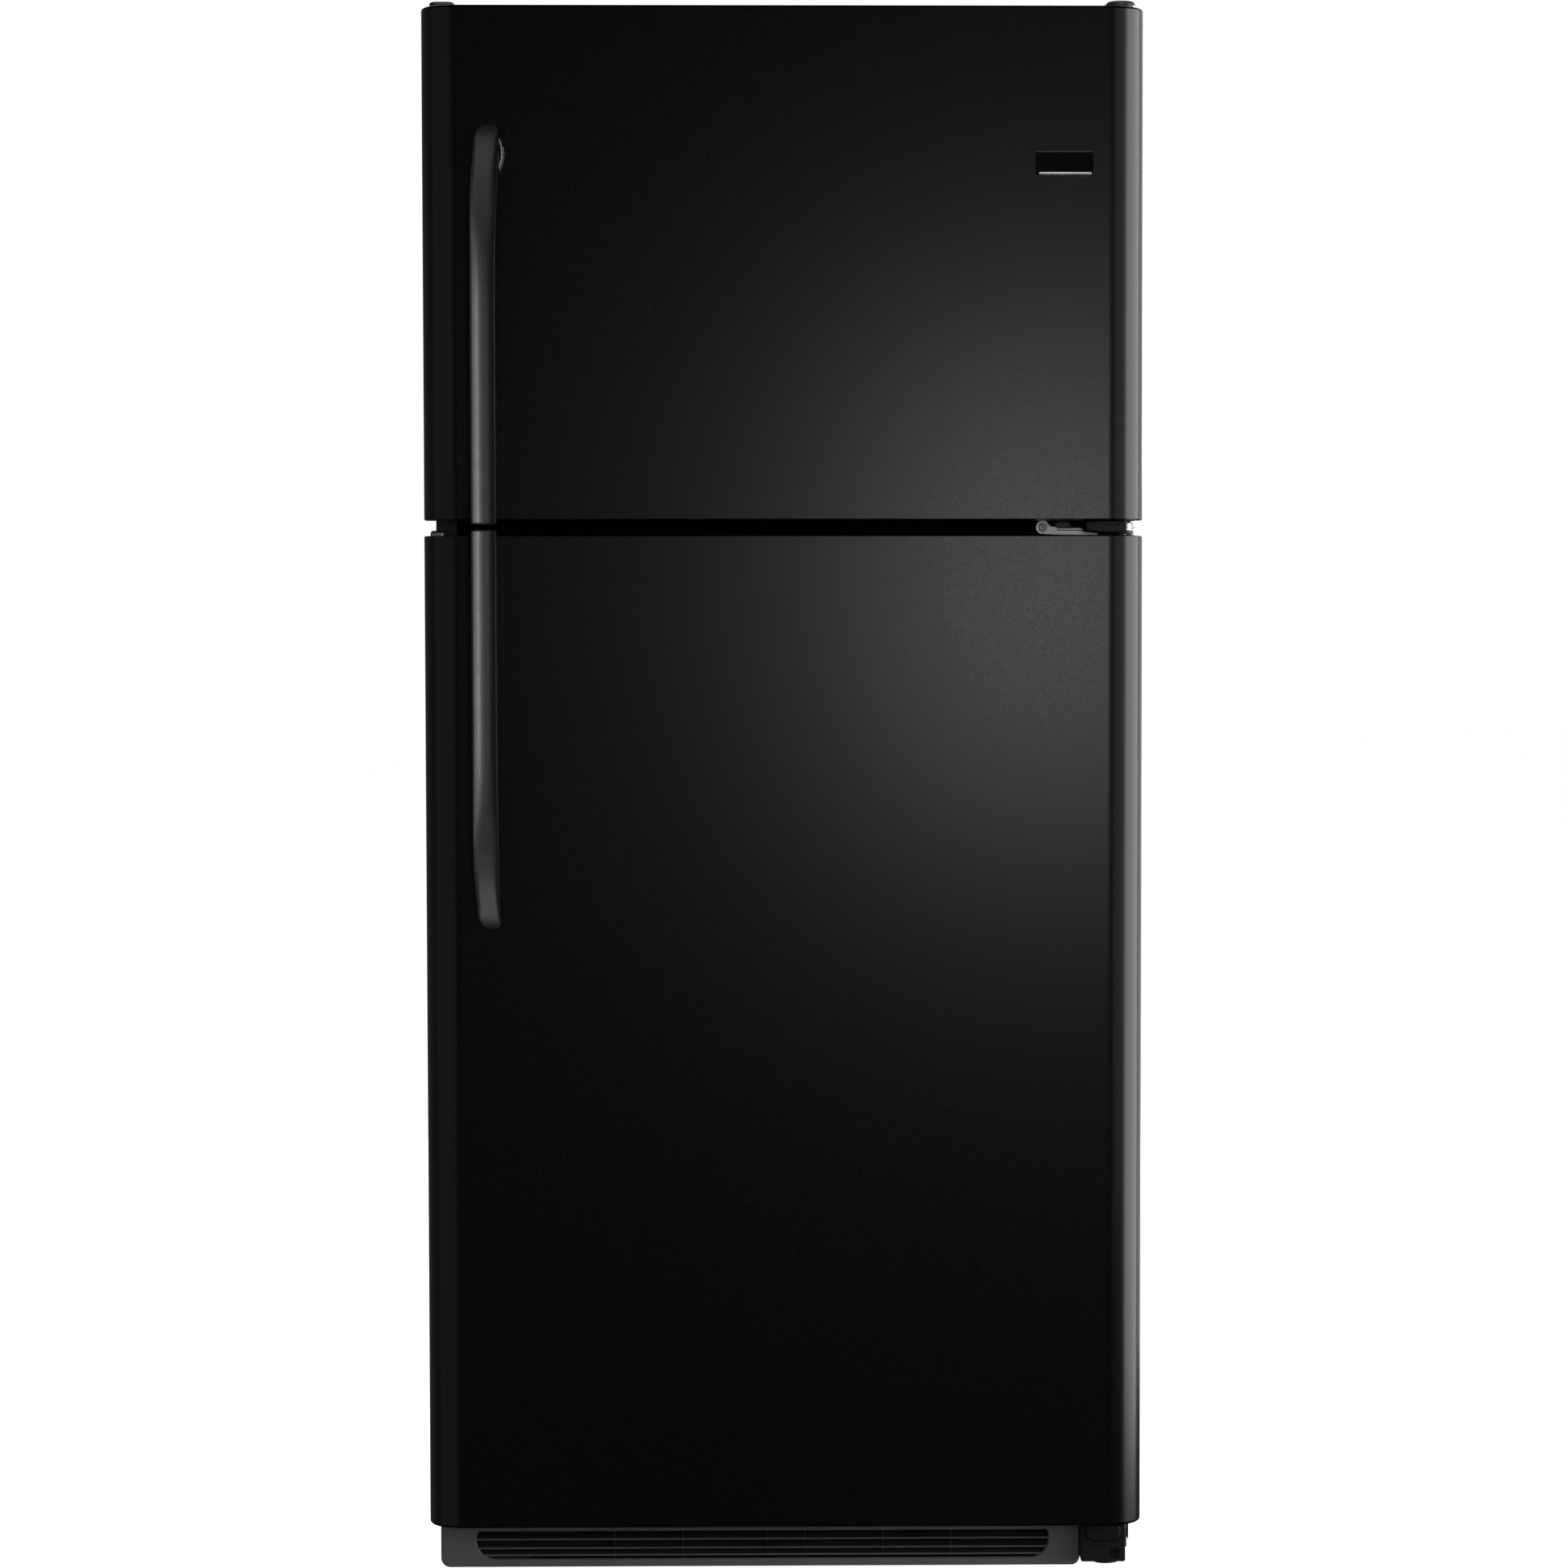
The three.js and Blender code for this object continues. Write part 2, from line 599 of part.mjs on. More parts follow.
function doorFoam(door) {
  const { low, high, edge } = door;
  const z = [low + edge + CAP_INSERT + FIT, high - CAP_LIP - CAP_INSERT - FIT];
  const slab = upright(doorOutline(SHEET + FIT), z).subtract(
    block([-400, 400], [DOOR_BACK - SHEET - FIT, 0], [0, HEIGHT]),
  );
  const gap = WALL + FIT;
  const ring = ringBlock(door, gap, [DOOR_BACK - 5, DOOR_BACK + RING_REACH - gap]);
  const pocket = ringBlock(door, RING_WIDTH - gap, [DOOR_BACK - POCKET - FIT, 0]);
  return cut(joined(slab, ring), pocket);
}

// Magnetic seal in one ring.
function doorGasket({ low, high }) {
  const y = [DOOR_BACK + 2 * FIT + WALL, CABINET_FRONT - FIT];
  const half = SIDE - 16;
  const [z0, z1] = [low + 12, high - 12];
  const width = 12;
  return cut(
    block([-half, half], y, [z0, z1]),
    block([-half + width, half - width], [y[0] - 1, y[1] + 1], [z0 + width, z1 - width]),
  );
}

// ---------------------------------------------------------------- handles
const HANDLE = { x: -311, width: 27, thickness: 18, curve: 126, foot: 18 };

// A bar that leaves the door in a long curve at its far end and stops square beside the other handle.
// near is the square end's height, and far is the curved end's.
function handle(near, far) {
  const { x, width, thickness, curve, foot } = HANDLE;
  const away = Math.sign(far - near);
  const z = (distance) => far - away * distance;
  const door = DOOR_FRONT - FIT;
  const side = new THREE.Shape();
  side.moveTo(door, near + away * 6).lineTo(door, near + away * (6 + foot));
  side.lineTo(HANDLE_FRONT + thickness, near + away * (6 + foot + 6));
  side.lineTo(HANDLE_FRONT + thickness, z(curve));
  side.quadraticCurveTo(HANDLE_FRONT + thickness, z(52), door, z(36));
  side.lineTo(door, far);
  side.quadraticCurveTo(door - 22, far, HANDLE_FRONT + 14, z(34));
  side.quadraticCurveTo(HANDLE_FRONT, z(66), HANDLE_FRONT, z(curve));
  side.lineTo(HANDLE_FRONT, near).lineTo(door - 12, near);
  return sideways(side, [x - width / 2, x + width / 2], 8);
}

// ---------------------------------------------------------------- inside the doors
const POCKET_FLOOR = DOOR_BACK - POCKET + WALL;
const RACK_WALL = 3; // the freezer's racks are thicker than the bins

// An open bin held between the sides of a door's ring.
function doorBin({ ring }, [z0, z1], depth, wall = WALL) {
  const half = ring - RING_WIDTH - 1.5;
  return tray([-half, half], [POCKET_FLOOR + FIT, POCKET_FLOOR + depth], [z0, z1], wall);
}

const DAIRY = { left: 20, low: 905, high: 1020, back: -190 };

// A box for butter, hung between the sides of the ring and open towards the cabinet.
function dairyBox() {
  const right = FRIDGE_DOOR.ring - RING_WIDTH - 1.5;
  const { left, low, high, back } = DAIRY;
  const front = POCKET_FLOOR + FIT;
  return cut(
    block([left, right], [front, back], [low, high]),
    block([left + WALL, right - WALL], [front + WALL, back + 1], [low + WALL, high - WALL]),
  );
}

// Its lid, drawn from its hinge line downwards.
function dairyFlap() {
  const right = FRIDGE_DOOR.ring - RING_WIDTH - 4;
  const half = (right - DAIRY.left - 3) / 2;
  const height = DAIRY.high - DAIRY.low - 10;
  return joined(
    block([-half, half], [-1.3, 1.2], [-height, -2]),
    rod(3, [-half, half], ACROSS, [0, 0, 0], 12),
    block([-26, 26], [0, 9], [-height, -height + 3]),
  );
}

// ---------------------------------------------------------------- inside the compartments
const SHELF = { half: 324, back: 300, rim: 16, border: 22, seat: 12 };

// A plastic rim with a seat for its glass.
function shelfFrame(z, front = SHELF_FRONT, back = SHELF.back) {
  const { half, rim, border, seat } = SHELF;
  return cut(
    block([-half, half], [front, back], [z, z + rim]),
    block([-half + border, half - border], [front + border, back - border], [z - 1, z + rim + 1]),
    block([-half + seat, half - seat], [front + seat, back - seat], [z + 6, z + rim + 1]),
  );
}

function shelfGlass(z, front = SHELF_FRONT, back = SHELF.back) {
  const edge = SHELF.seat + FIT;
  const half = SHELF.half - edge;
  return block([-half, half], [front + edge, back - edge], [z + 6 + FIT, z + 6 + FIT + 4]);
}

const CRISPER_COVER = { z: 358, front: -120, back: 330 };
const DELI = { left: -300, right: -20, front: -130, back: 240, low: 500, high: 588 };

// The lower shelf's rim also carries the two rails that the meat drawer hangs from.
function lowerShelfFrame(z) {
  const rail = (inner, outer) => {
    const wall = [outer, outer + Math.sign(outer - inner) * 2.5].sort((a, b) => a - b);
    const shelf = [inner, wall[Math.sign(outer - inner) > 0 ? 1 : 0]].sort((a, b) => a - b);
    const y = [DELI.front - 2, DELI.back + 20];
    return joined(block(wall, y, [582, z + 1]), block(shelf, [DELI.front + 4, y[1]], [580, 582.5]));
  };
  return joined(
    shelfFrame(z),
    rail(DELI.left - 3, DELI.left - 14),
    rail(DELI.right + 3, DELI.right + 14),
    block([DELI.left - 17, DELI.right + 17], [DELI.back + 14, DELI.back + 20], [z - 6, z + 3]),
  );
}

function crisperCoverFrame() {
  const { z, front, back } = CRISPER_COVER;
  return joined(
    shelfFrame(z, front, back),
    block([-1.5, 1.5], [front + 5, 150], [z - 50, z + 3]),
    block([-11, 11], [front + 1, back - 1], [z, z + 6]),
  );
}

// A deep drawer with a finger pull along its front.
function crisper(left, right) {
  const [front, back] = [-104, 180];
  const z = [FRESH.floor + 0.5, 342];
  const reach = 24;
  return joined(
    tray([left, right], [front, back], z),
    block([left + 10, right - 10], [front - reach, front + 1], [z[1] - 22, z[1] - 19]),
    block([left + 10, right - 10], [front - reach, front - reach + WALL], [z[1] - 36, z[1] - 20]),
  );
}

function deliDrawer() {
  const { left, right, front, back, low, high } = DELI;
  const flange = (x0, x1) => block([x0, x1], [front + 6, back - 2], [high - 5, high - 2.5]);
  return joined(
    tray([left, right], [front, back], [low, high]),
    flange(left - 11, left + 1),
    flange(right - 1, right + 11),
    block([left - 6, right + 6], [front - 8, front + 1], [high - 14, high + 4]),
  );
}

// Wire shelf: a rim of two bars each way and wires from front to back.
function freezerShelf() {
  const half = FREEZER.half - 4;
  const [front, back] = [-140, 252];
  const z = FREEZER_LEDGE;
  const across = [front, front + 130, back - 130, back - 5].map((y) =>
    block([-half, half], [y, y + 5], [z, z + 5]),
  );
  const wires = [];
  const gaps = 12;
  for (let i = 0; i <= gaps; i++) {
    const x = -half + 2 + (i * (2 * half - 4)) / gaps;
    wires.push(block([x - 2, x + 2], [front, back], [z + 3, z + 7]));
  }
  return joined(...across, ...wires);
}

const EVAPORATOR_FAN = { y: 288, z: 1500, radius: 46 };

// The panel at the back of the freezer, with air slots and the opening for its fan.
function evaporatorCover() {
  const half = FREEZER.half - 0.6;
  const y = [267, 270];
  const slots = [1180, 1200, 1220].flatMap((z) =>
    [-240, 120].map((x) => block([x, x + 120], [y[0] - 5, y[1] + 5], [z, z + 7])),
  );
  const vent = rod(EVAPORATOR_FAN.radius + 3, [y[0] - 5, y[1] + 5], INWARD, [0, 0, EVAPORATOR_FAN.z]);
  const bars = [-36, -18, 0, 18, 36].map((dx) =>
    block([dx - 1.5, dx + 1.5], [y[0], y[1]], [EVAPORATOR_FAN.z - 50, EVAPORATOR_FAN.z + 50]),
  );
  const plate = block([-half, half], y, [FREEZER.floor + 0.6, FREEZER.ceiling - 0.6]);
  return joined(cut(plate, ...slots, vent), ...bars);
}

// Finned tube behind that panel.
function evaporatorCoil() {
  const fins = [];
  for (let x = -240; x <= 240; x += 80) {
    fins.push(block([x - 1, x + 1], [284, 330], [1186, 1400]));
  }
  const tubes = [1206, 1246, 1286, 1326, 1366].map((z) => rod(5, [-256, 256], ACROSS, [0, 307, z], 6));
  const bends = [[1206, 1246, 1], [1246, 1286, -1], [1286, 1326, 1], [1326, 1366, -1]].map(([a, b, side]) => {
    const x = [side * 250, side * 258].sort((p, q) => p - q);
    return block(x, [302, 312], [a - 5, b + 5]);
  });
  return joined(...fins, ...tubes, ...bends);
}

const CONTROL = { left: -170, right: 170, front: -150, back: -10, low: 1046, high: FRESH.ceiling - FIT };
const KNOB_HEIGHT = 1069;
const KNOB_PLACES = { fresh_food_knob: -50, freezer_knob: 70 };
const SWITCH = { x: -140, z: 1072, tip: -232.2, tail: -198, radius: 4 }; // rests pressed by the shut door

// Ceiling console: lamp pocket below, two knobs in front and an arm that carries the door's light switch.
function controlHousing() {
  const { left, right, front, back, low, high } = CONTROL;
  const knobHoles = Object.values(KNOB_PLACES).map((x) =>
    rod(4.8, [front - 5, front + 16], INWARD, [x, 0, KNOB_HEIGHT], 12),
  );
  return cut(
    joined(
      block([left, right], [front, back], [low, high]),
      block([SWITCH.x - 22, SWITCH.x + 22], [-214, front + 1], [1060, high]),
    ),
    block([left + 30, right - 30], [front + 28, back - 12], [low - 1, high - 8]),
    ...knobHoles,
    rod(SWITCH.radius + 0.8, [-220, -192], INWARD, [SWITCH.x, 0, SWITCH.z], 12),
  );
}

// A dial with a grip across it, drawn about its own axis with its shaft pointing inwards.
function knob() {
  return joined(
    rod(17, [-8, -FIT], INWARD, [0, 0, 0]),
    block([-3.5, 3.5], [-19, -7], [-16, 16]),
    rod(4, [-1, 12], INWARD, [0, 0, 0], 12),
  );
}

// ---------------------------------------------------------------- feet
function levelingLeg() {
  return turned([[0, 0], [14, 0], [14, 6], [8, 9], [5, 9], [5, 56], [0, 56]], UP, [0, 0, 0], 16);
}

function roller() {
  const { radius, width } = ROLLER;
  const half = width / 2;
  return joined(
    turned(
      [[0, -half], [radius - 2, -half], [radius, -half + 2], [radius, half - 2], [radius - 2, half], [0, half]],
      ACROSS,
      [0, 0, 0],
    ),
    rod(4, [-16, 16], ACROSS, [0, 0, 0], 10),
  );
}

// ---------------------------------------------------------------- the assembly
add("cabinet_shell", cabinetShell(), blackPaint);
add("back_panel", backPanel(), zinc);
add("foam_insulation", foamInsulation(), foam);
add("fresh_food_liner", freshFoodLiner(), whitePlastic);
add("freezer_liner", freezerLiner(), whitePlastic);
add("center_rail", centerRail(), blackPaint);
add("base_pan", basePan(), zinc);
add("base_frame", baseFrame(), zinc);

add("compressor", compressor(), blackSteel);
add("condenser_coil", condenserCoil(), blackSteel);
add("condenser_fan_motor", condenserFanMotor(), zinc);
add("rear_access_cover", rearAccessCover(), blackPlastic);
add("condenser_fan", fanBlades(FAN.radius, 13, 5, ACROSS), blackPlastic, [FAN.x, FAN.y, FAN.z]);

add("toe_grille", toeGrille(), blackPlastic);
add("top_hinge", topHinge(), steel);
add("top_hinge_cover", topHingeCover(), blackPlastic);
add("center_hinge", centerHinge(), steel);
add("bottom_hinge", bottomHinge(), blackSteel);
add("bottom_hinge_cover", bottomHingeCover(), blackPlastic);

for (const [side, sign] of [["left", -1], ["right", 1]]) {
  add(`leveling_leg_${side}`, levelingLeg(), steel, [sign * LEG.x, LEG.y, 0]);
  add(`rear_roller_${side}`, roller(), blackPlastic, [sign * ROLLER.x, ROLLER.y, ROLLER.radius]);
}

for (const [name, door] of [["freezer_door", FREEZER_DOOR], ["fridge_door", FRIDGE_DOOR]]) {
  const panel = new THREE.Group();
  fridge.add(panel);
  const put = (part, made, material) => add(`${name}_${part}`, made, material, [0, 0, 0], panel);
  put("skin", doorSkin(door), blackPaint);
  put("foam", doorFoam(door), foam);
  put("liner", doorLiner(door), whitePlastic);
  put("gasket", doorGasket(door), blackRubber);
  put("top_cap", doorCap(door, true), blackPlastic);
  put("bottom_cap", doorCap(door, false), blackPlastic);
}
add("freezer_handle", handle(1127, 1545.5), handlePlastic);
add("fridge_handle", handle(1121, 700.5), handlePlastic);

add("freezer_rack_lower", doorBin(FREEZER_DOOR, [1200, 1266], 92, RACK_WALL), clearPlastic);
add("freezer_rack_upper", doorBin(FREEZER_DOOR, [1400, 1466], 92, RACK_WALL), clearPlastic);
add("bin_lower", doorBin(FRIDGE_DOOR, [158, 268], 114), clearPlastic);
add("bin_upper", doorBin(FRIDGE_DOOR, [612, 697], 100), clearPlastic);
add("dairy_box", dairyBox(), whitePlastic);
const flapMiddle = (DAIRY.left + FRIDGE_DOOR.ring - RING_WIDTH - 1.5) / 2;
add("dairy_flap", dairyFlap(), clearPlastic, [flapMiddle, DAIRY.back + 4, DAIRY.high - 4]);

add("freezer_shelf", freezerShelf(), steel);
add("evaporator_cover", evaporatorCover(), whitePlastic);
add("evaporator_coil", evaporatorCoil(), aluminium);
const blades = fanBlades(EVAPORATOR_FAN.radius, 11, 5, INWARD);
add("evaporator_fan", blades, blackPlastic, [0, EVAPORATOR_FAN.y, EVAPORATOR_FAN.z]);

add("shelf_upper_frame", shelfFrame(829), whitePlastic);
add("shelf_upper_glass", shelfGlass(829), glass);
add("shelf_lower_frame", lowerShelfFrame(609), whitePlastic);
add("shelf_lower_glass", shelfGlass(609), glass);
add("crisper_cover_frame", crisperCoverFrame(), whitePlastic);
add("crisper_cover_glass", shelfGlass(CRISPER_COVER.z, CRISPER_COVER.front, CRISPER_COVER.back), glass);
add("crisper_left", crisper(-322, -6), clearPlastic);
add("crisper_right", crisper(6, 322), clearPlastic);
add("deli_drawer", deliDrawer(), clearPlastic);

add("control_housing", controlHousing(), whitePlastic);
for (const [name, x] of Object.entries(KNOB_PLACES)) {
  add(name, knob(), whitePlastic, [x, CONTROL.front, KNOB_HEIGHT]);
}
const plunger = rod(SWITCH.radius, [SWITCH.tip, SWITCH.tail], INWARD, [SWITCH.x, 0, SWITCH.z], 12);
add("light_switch", plunger, whitePlastic);

export default fridge;
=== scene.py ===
"""Visual model of a black top-freezer refrigerator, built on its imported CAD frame.

Metres. +Z is up, the doors face -Y, and +X is the hinge side.
"""
import json
from math import copysign, cos, pi, radians, sin, sqrt

import bmesh
import bpy
from mathutils import Matrix, Vector


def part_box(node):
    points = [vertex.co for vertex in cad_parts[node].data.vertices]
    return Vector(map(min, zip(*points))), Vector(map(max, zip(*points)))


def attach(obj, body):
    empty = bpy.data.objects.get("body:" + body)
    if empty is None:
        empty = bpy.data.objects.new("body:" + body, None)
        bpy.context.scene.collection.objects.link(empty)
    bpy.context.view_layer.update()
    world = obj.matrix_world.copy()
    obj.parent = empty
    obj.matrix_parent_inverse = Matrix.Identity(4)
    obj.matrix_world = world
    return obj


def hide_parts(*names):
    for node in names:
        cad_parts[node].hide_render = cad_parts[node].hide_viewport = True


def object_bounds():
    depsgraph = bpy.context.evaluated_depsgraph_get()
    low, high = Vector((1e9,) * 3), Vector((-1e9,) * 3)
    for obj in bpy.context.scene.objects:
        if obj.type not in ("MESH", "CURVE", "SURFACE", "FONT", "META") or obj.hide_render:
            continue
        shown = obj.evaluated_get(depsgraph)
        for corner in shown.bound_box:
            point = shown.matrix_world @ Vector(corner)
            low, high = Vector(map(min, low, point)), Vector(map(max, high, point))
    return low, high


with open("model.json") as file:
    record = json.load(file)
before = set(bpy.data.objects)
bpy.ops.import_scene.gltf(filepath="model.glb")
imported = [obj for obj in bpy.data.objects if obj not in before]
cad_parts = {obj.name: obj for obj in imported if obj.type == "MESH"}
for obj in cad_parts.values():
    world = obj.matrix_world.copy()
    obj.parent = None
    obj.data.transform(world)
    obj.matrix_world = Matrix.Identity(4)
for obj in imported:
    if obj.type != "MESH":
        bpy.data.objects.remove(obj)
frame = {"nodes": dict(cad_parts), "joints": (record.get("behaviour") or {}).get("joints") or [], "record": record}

CAD_BOX = [list(corner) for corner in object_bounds()]
scene = bpy.context.scene
NODES = frame["nodes"]
DOORS = ("freezer_door", "fridge_door")
FREEZER, FRIDGE = DOORS


# ---- places taken from the frame
def spans(node):
    """Low and high value of a node along each axis."""
    return list(zip(*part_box(node)))


def span(node, axis):
    """Low and high value of a node along one axis."""
    return spans(node)[axis]


HANDLE_FRONT = CAD_BOX[0][1]
DOOR_SIDE = span("fridge_door_skin", 0)[1]
DOOR_FRONT, DOOR_BACK = span("fridge_door_skin", 1)
# The door's face is flat and grained between these, and smooth round its sides.
FACE = (-0.3425, 0.3416)
DOOR_LOW = {door: span(door + "_bottom_cap", 2)[0] for door in DOORS}
DOOR_HIGH = {door: span(door + "_top_cap", 2)[1] for door in DOORS}
HINGE = next(row for row in frame["joints"] if row["name"] == "fridge_door_swing")
HINGE_X, HINGE_Y = HINGE["pos_m"][:2]
CABINET_FRONT = span("cabinet_shell", 1)[0]


# ---- materials
def put(tree, kind, inputs=None, **settings):
    """A shader node with its inputs and settings."""
    made = tree.nodes.new("ShaderNode" + kind)
    for key, value in settings.items():
        setattr(made, key, value)
    for key, value in (inputs or {}).items():
        made.inputs[key].default_value = value
    return made


def ramp(tree, source, low, high, to_low, to_high):
    """A value carried from one range to another."""
    made = put(tree, "MapRange", {1: low, 2: high, 3: to_low, 4: to_high})
    tree.links.new(source, made.inputs[0])
    return made.outputs[0]


def times(tree, a, b, operation="MULTIPLY"):
    """Two values, or a value and a number, multiplied or put through another operation."""
    made = put(tree, "Math", operation=operation)
    for socket, value in zip(made.inputs, (a, b)):
        if isinstance(value, (int, float)):
            socket.default_value = value
        else:
            tree.links.new(value, socket)
    return made.outputs[0]


def noise(tree, coords, scale, detail=3, stretch=None):
    """Noise between 0 and 1, drawn out along an axis if stretch says so."""
    if stretch:
        mapping = put(tree, "Mapping", {"Scale": stretch})
        tree.links.new(coords, mapping.inputs[0])
        coords = mapping.outputs[0]
    made = put(tree, "TexNoise", {"Scale": scale, "Detail": detail})
    tree.links.new(coords, made.inputs["Vector"])
    return made.outputs[0]


def blend_colors(tree, amount, a, b):
    """A colour that goes from a to b with amount."""
    made = put(tree, "Mix", data_type="RGBA")
    tree.links.new(amount, made.inputs[0])
    for socket, value in ((made.inputs[6], a), (made.inputs[7], b)):
        if isinstance(value, (tuple, list)):
            socket.default_value = (*value, 1)
        else:
            tree.links.new(value, socket)
    return made.outputs[2]


def scaled(color, amount):
    """A colour made brighter or darker."""
    return tuple(min(channel * amount, 1) for channel in color)


GRAIN_SPREAD = (0.36, 0.64)  # noise values taken as the grain's lows and highs
CLOUD_SPREAD = (0.3, 0.7)
EDGE_POINTINESS = (0.52, 0.62)  # from a flat surface to a worn edge


def finish(
    name,
    color,
    rough,
    metallic=0.0,
    vary=0.2,
    cloud=5,
    uneven=0.06,
    grain=900,
    bump=0.1,
    depth=0.0002,
    wear=0.15,
    patchy=0.5,
    speckle=0.25,
    stretch=None,
    face_only=False,
    **shader,
):
    """Cloudy colour, uneven gloss, fine grain and paler worn edges.

    All of it follows the piece's own coordinates.
    """
    made = bpy.data.materials.new(name)
    made.use_nodes = True
    tree = made.node_tree
    tree.nodes.clear()
    output = put(tree, "OutputMaterial")
    principled = put(tree, "BsdfPrincipled", {"Metallic": metallic, **shader})
    tree.links.new(principled.outputs[0], output.inputs[0])
    coords = put(tree, "TexCoord").outputs["Object"]

    fine = ramp(tree, noise(tree, coords, grain, 2, stretch), *GRAIN_SPREAD, 0, 1)
    amount = times(tree, fine, on_face(tree, coords)) if face_only else fine
    clouds = times(tree, noise(tree, coords, cloud, 5), 1 - speckle)
    tone = ramp(tree, times(tree, clouds, times(tree, amount, speckle), "ADD"), *CLOUD_SPREAD, 0, 1)
    mixed = blend_colors(tree, tone, scaled(color, 1 - vary), scaled(color, 1 + vary))
    edges = put(tree, "NewGeometry").outputs["Pointiness"]
    worn = times(tree, ramp(tree, edges, *EDGE_POINTINESS, 0, wear), noise(tree, coords, 60, 4))
    pale = tuple(min(channel * 1.6 + 0.05, 1) for channel in color)
    tree.links.new(blend_colors(tree, worn, mixed, pale), principled.inputs["Base Color"])

    patches = times(tree, noise(tree, coords, cloud * 7, 4), patchy)
    gloss = times(tree, patches, times(tree, fine, 1 - patchy), "ADD")
    roughness = ramp(tree, gloss, *CLOUD_SPREAD, rough - uneven, rough + uneven)
    tree.links.new(roughness, principled.inputs["Roughness"])
    raised = put(tree, "Bump", {"Strength": bump, "Distance": depth})
    tree.links.new(amount, raised.inputs["Height"])
    tree.links.new(raised.outputs[0], principled.inputs["Normal"])
    return made


def on_face(tree, coords):
    """1 on the flat of a door's face and 0 on its rounded sides."""
    across = put(tree, "SeparateXYZ")
    tree.links.new(coords, across.inputs[0])
    left = ramp(tree, across.outputs[0], FACE[0] - 0.001, FACE[0], 0, 1)
    right = ramp(tree, across.outputs[0], FACE[1], FACE[1] + 0.001, 1, 0)
    return times(tree, left, right)


PAINT = (0.0048, 0.0048, 0.0048)
FINISHES = {
    "painted_steel": finish(
        "door_paint",
        PAINT,
        0.24,
        vary=0.5,
        speckle=0.7,
        uneven=0.016,
        patchy=0.1,
        bump=0.02,
        grain=800,
        face_only=True,
        wear=0.05,
    ),
    "black_plastic": finish("black_plastic", (0.016, 0.016, 0.016), 0.42, bump=0.15, grain=700),
    "handle_plastic": finish(
        "handle_plastic", (0.014, 0.0138, 0.0137), 0.36, bump=0.04, grain=1200, cloud=9
    ),
    "gasket_rubber": finish("gasket_rubber", (0.012, 0.012, 0.012), 0.62, bump=0.2, grain=500, wear=0),
    "liner_plastic": finish(
        "liner_plastic", (0.8, 0.81, 0.79), 0.3, vary=0.03, uneven=0.03, bump=0.05, grain=300, wear=0
    ),
    "clear_plastic": finish(
        "clear_plastic", (0.82, 0.88, 0.9), 0.12, vary=0.03, bump=0.02, wear=0, Alpha=0.42
    ),
    "shelf_glass": finish(
        "shelf_glass", (0.72, 0.86, 0.82), 0.07, vary=0.03, bump=0.005, wear=0, uneven=0.03, Alpha=0.34
    ),
    "insulation_foam": finish(
        "insulation_foam", (0.78, 0.62, 0.34), 0.85, bump=0.5, grain=260, depth=0.001, wear=0
    ),
    "hinge_steel": finish(
        "hinge_steel", (0.46, 0.465, 0.47), 0.36, 1.0, vary=0.25, bump=0.06, stretch=(1, 1, 12)
    ),
    "zinc_steel": finish(
        "zinc_steel", (0.46, 0.48, 0.5), 0.42, 1.0, vary=0.14, cloud=70, bump=0.08, wear=0.1
    ),
    "black_steel": finish("black_steel", (0.014, 0.014, 0.014), 0.38, bump=0.15, grain=500),
    "evaporator_aluminium": finish(
        "aluminium", (0.76, 0.77, 0.78), 0.35, 1.0, vary=0.08, bump=0.08, stretch=(12, 1, 1)
    ),
}
DARK_STEEL = finish(
    "dark_steel", (0.13, 0.13, 0.13), 0.5, 1.0, vary=0.35, cloud=150, bump=0.2, wear=0.2
)
ROUGH_BLACK = finish(
    "rough_black", (0.03, 0.03, 0.03), 0.6, vary=0.6, cloud=160, bump=0.5, grain=700, depth=0.0005
)
# Painted shade: the louvre blades and the screen behind them are the grille's black plastic in a darker copy,
# standing for the shade behind the opening.
LOUVRE_PAINTED_SHADE_GREY = finish(
    "louvre_plastic_painted_shade", (0.045, 0.045, 0.045), 0.5, vary=0.1, speckle=0.4, bump=0.08, grain=1500, wear=0.05
)
# Painted light: the kick plate is black plastic made pale grey, standing for the bounce light from the floor that
# it doesn't get.
GRILLE_PAINTED_LIGHT_GREY = finish(
    "grille_plastic_painted_light", (0.36, 0.36, 0.36), 0.45, vary=0.06, speckle=0.4, bump=0.08, grain=1500, wear=0.05
)
# Painted shade: a near-black, barely reflecting finish that stands for the shadow in the gap between the doors,
# behind the louvres and beside the fridge handle's end. The seals are black rubber and wear it too.
SHADOW_BLACK = finish(
    "seal_and_painted_shade_black", (0.004, 0.004, 0.004), 0.85, bump=0.1, wear=0, **{"Specular IOR Level": 0.1}
)
CHROME = finish("badge_chrome", (0.72, 0.73, 0.74), 0.3, 1.0, vary=0.06, bump=0.01, wear=0, uneven=0.05)
BADGE_BLACK = finish("badge_black", (0.003, 0.003, 0.003), 0.07, bump=0.01, wear=0.1, uneven=0.02)
CABINET_PAINT = finish("cabinet_paint", (0.006, 0.006, 0.006), 0.34, bump=0.22, grain=420, depth=0.0003)


# ---- shapes
def link(name, mesh):
    """A mesh as an object in the scene."""
    made = bpy.data.objects.new(name, mesh)
    scene.collection.objects.link(made)
    return made


def soften(obj, angle=32):
    """Smooth shading that keeps sharp edges and flat faces."""
    obj.data.shade_smooth()
    obj.data.set_sharp_from_angle(angle=radians(angle))
    flat = obj.modifiers.new("normals", "WEIGHTED_NORMAL")
    flat.keep_sharp = True
    return obj


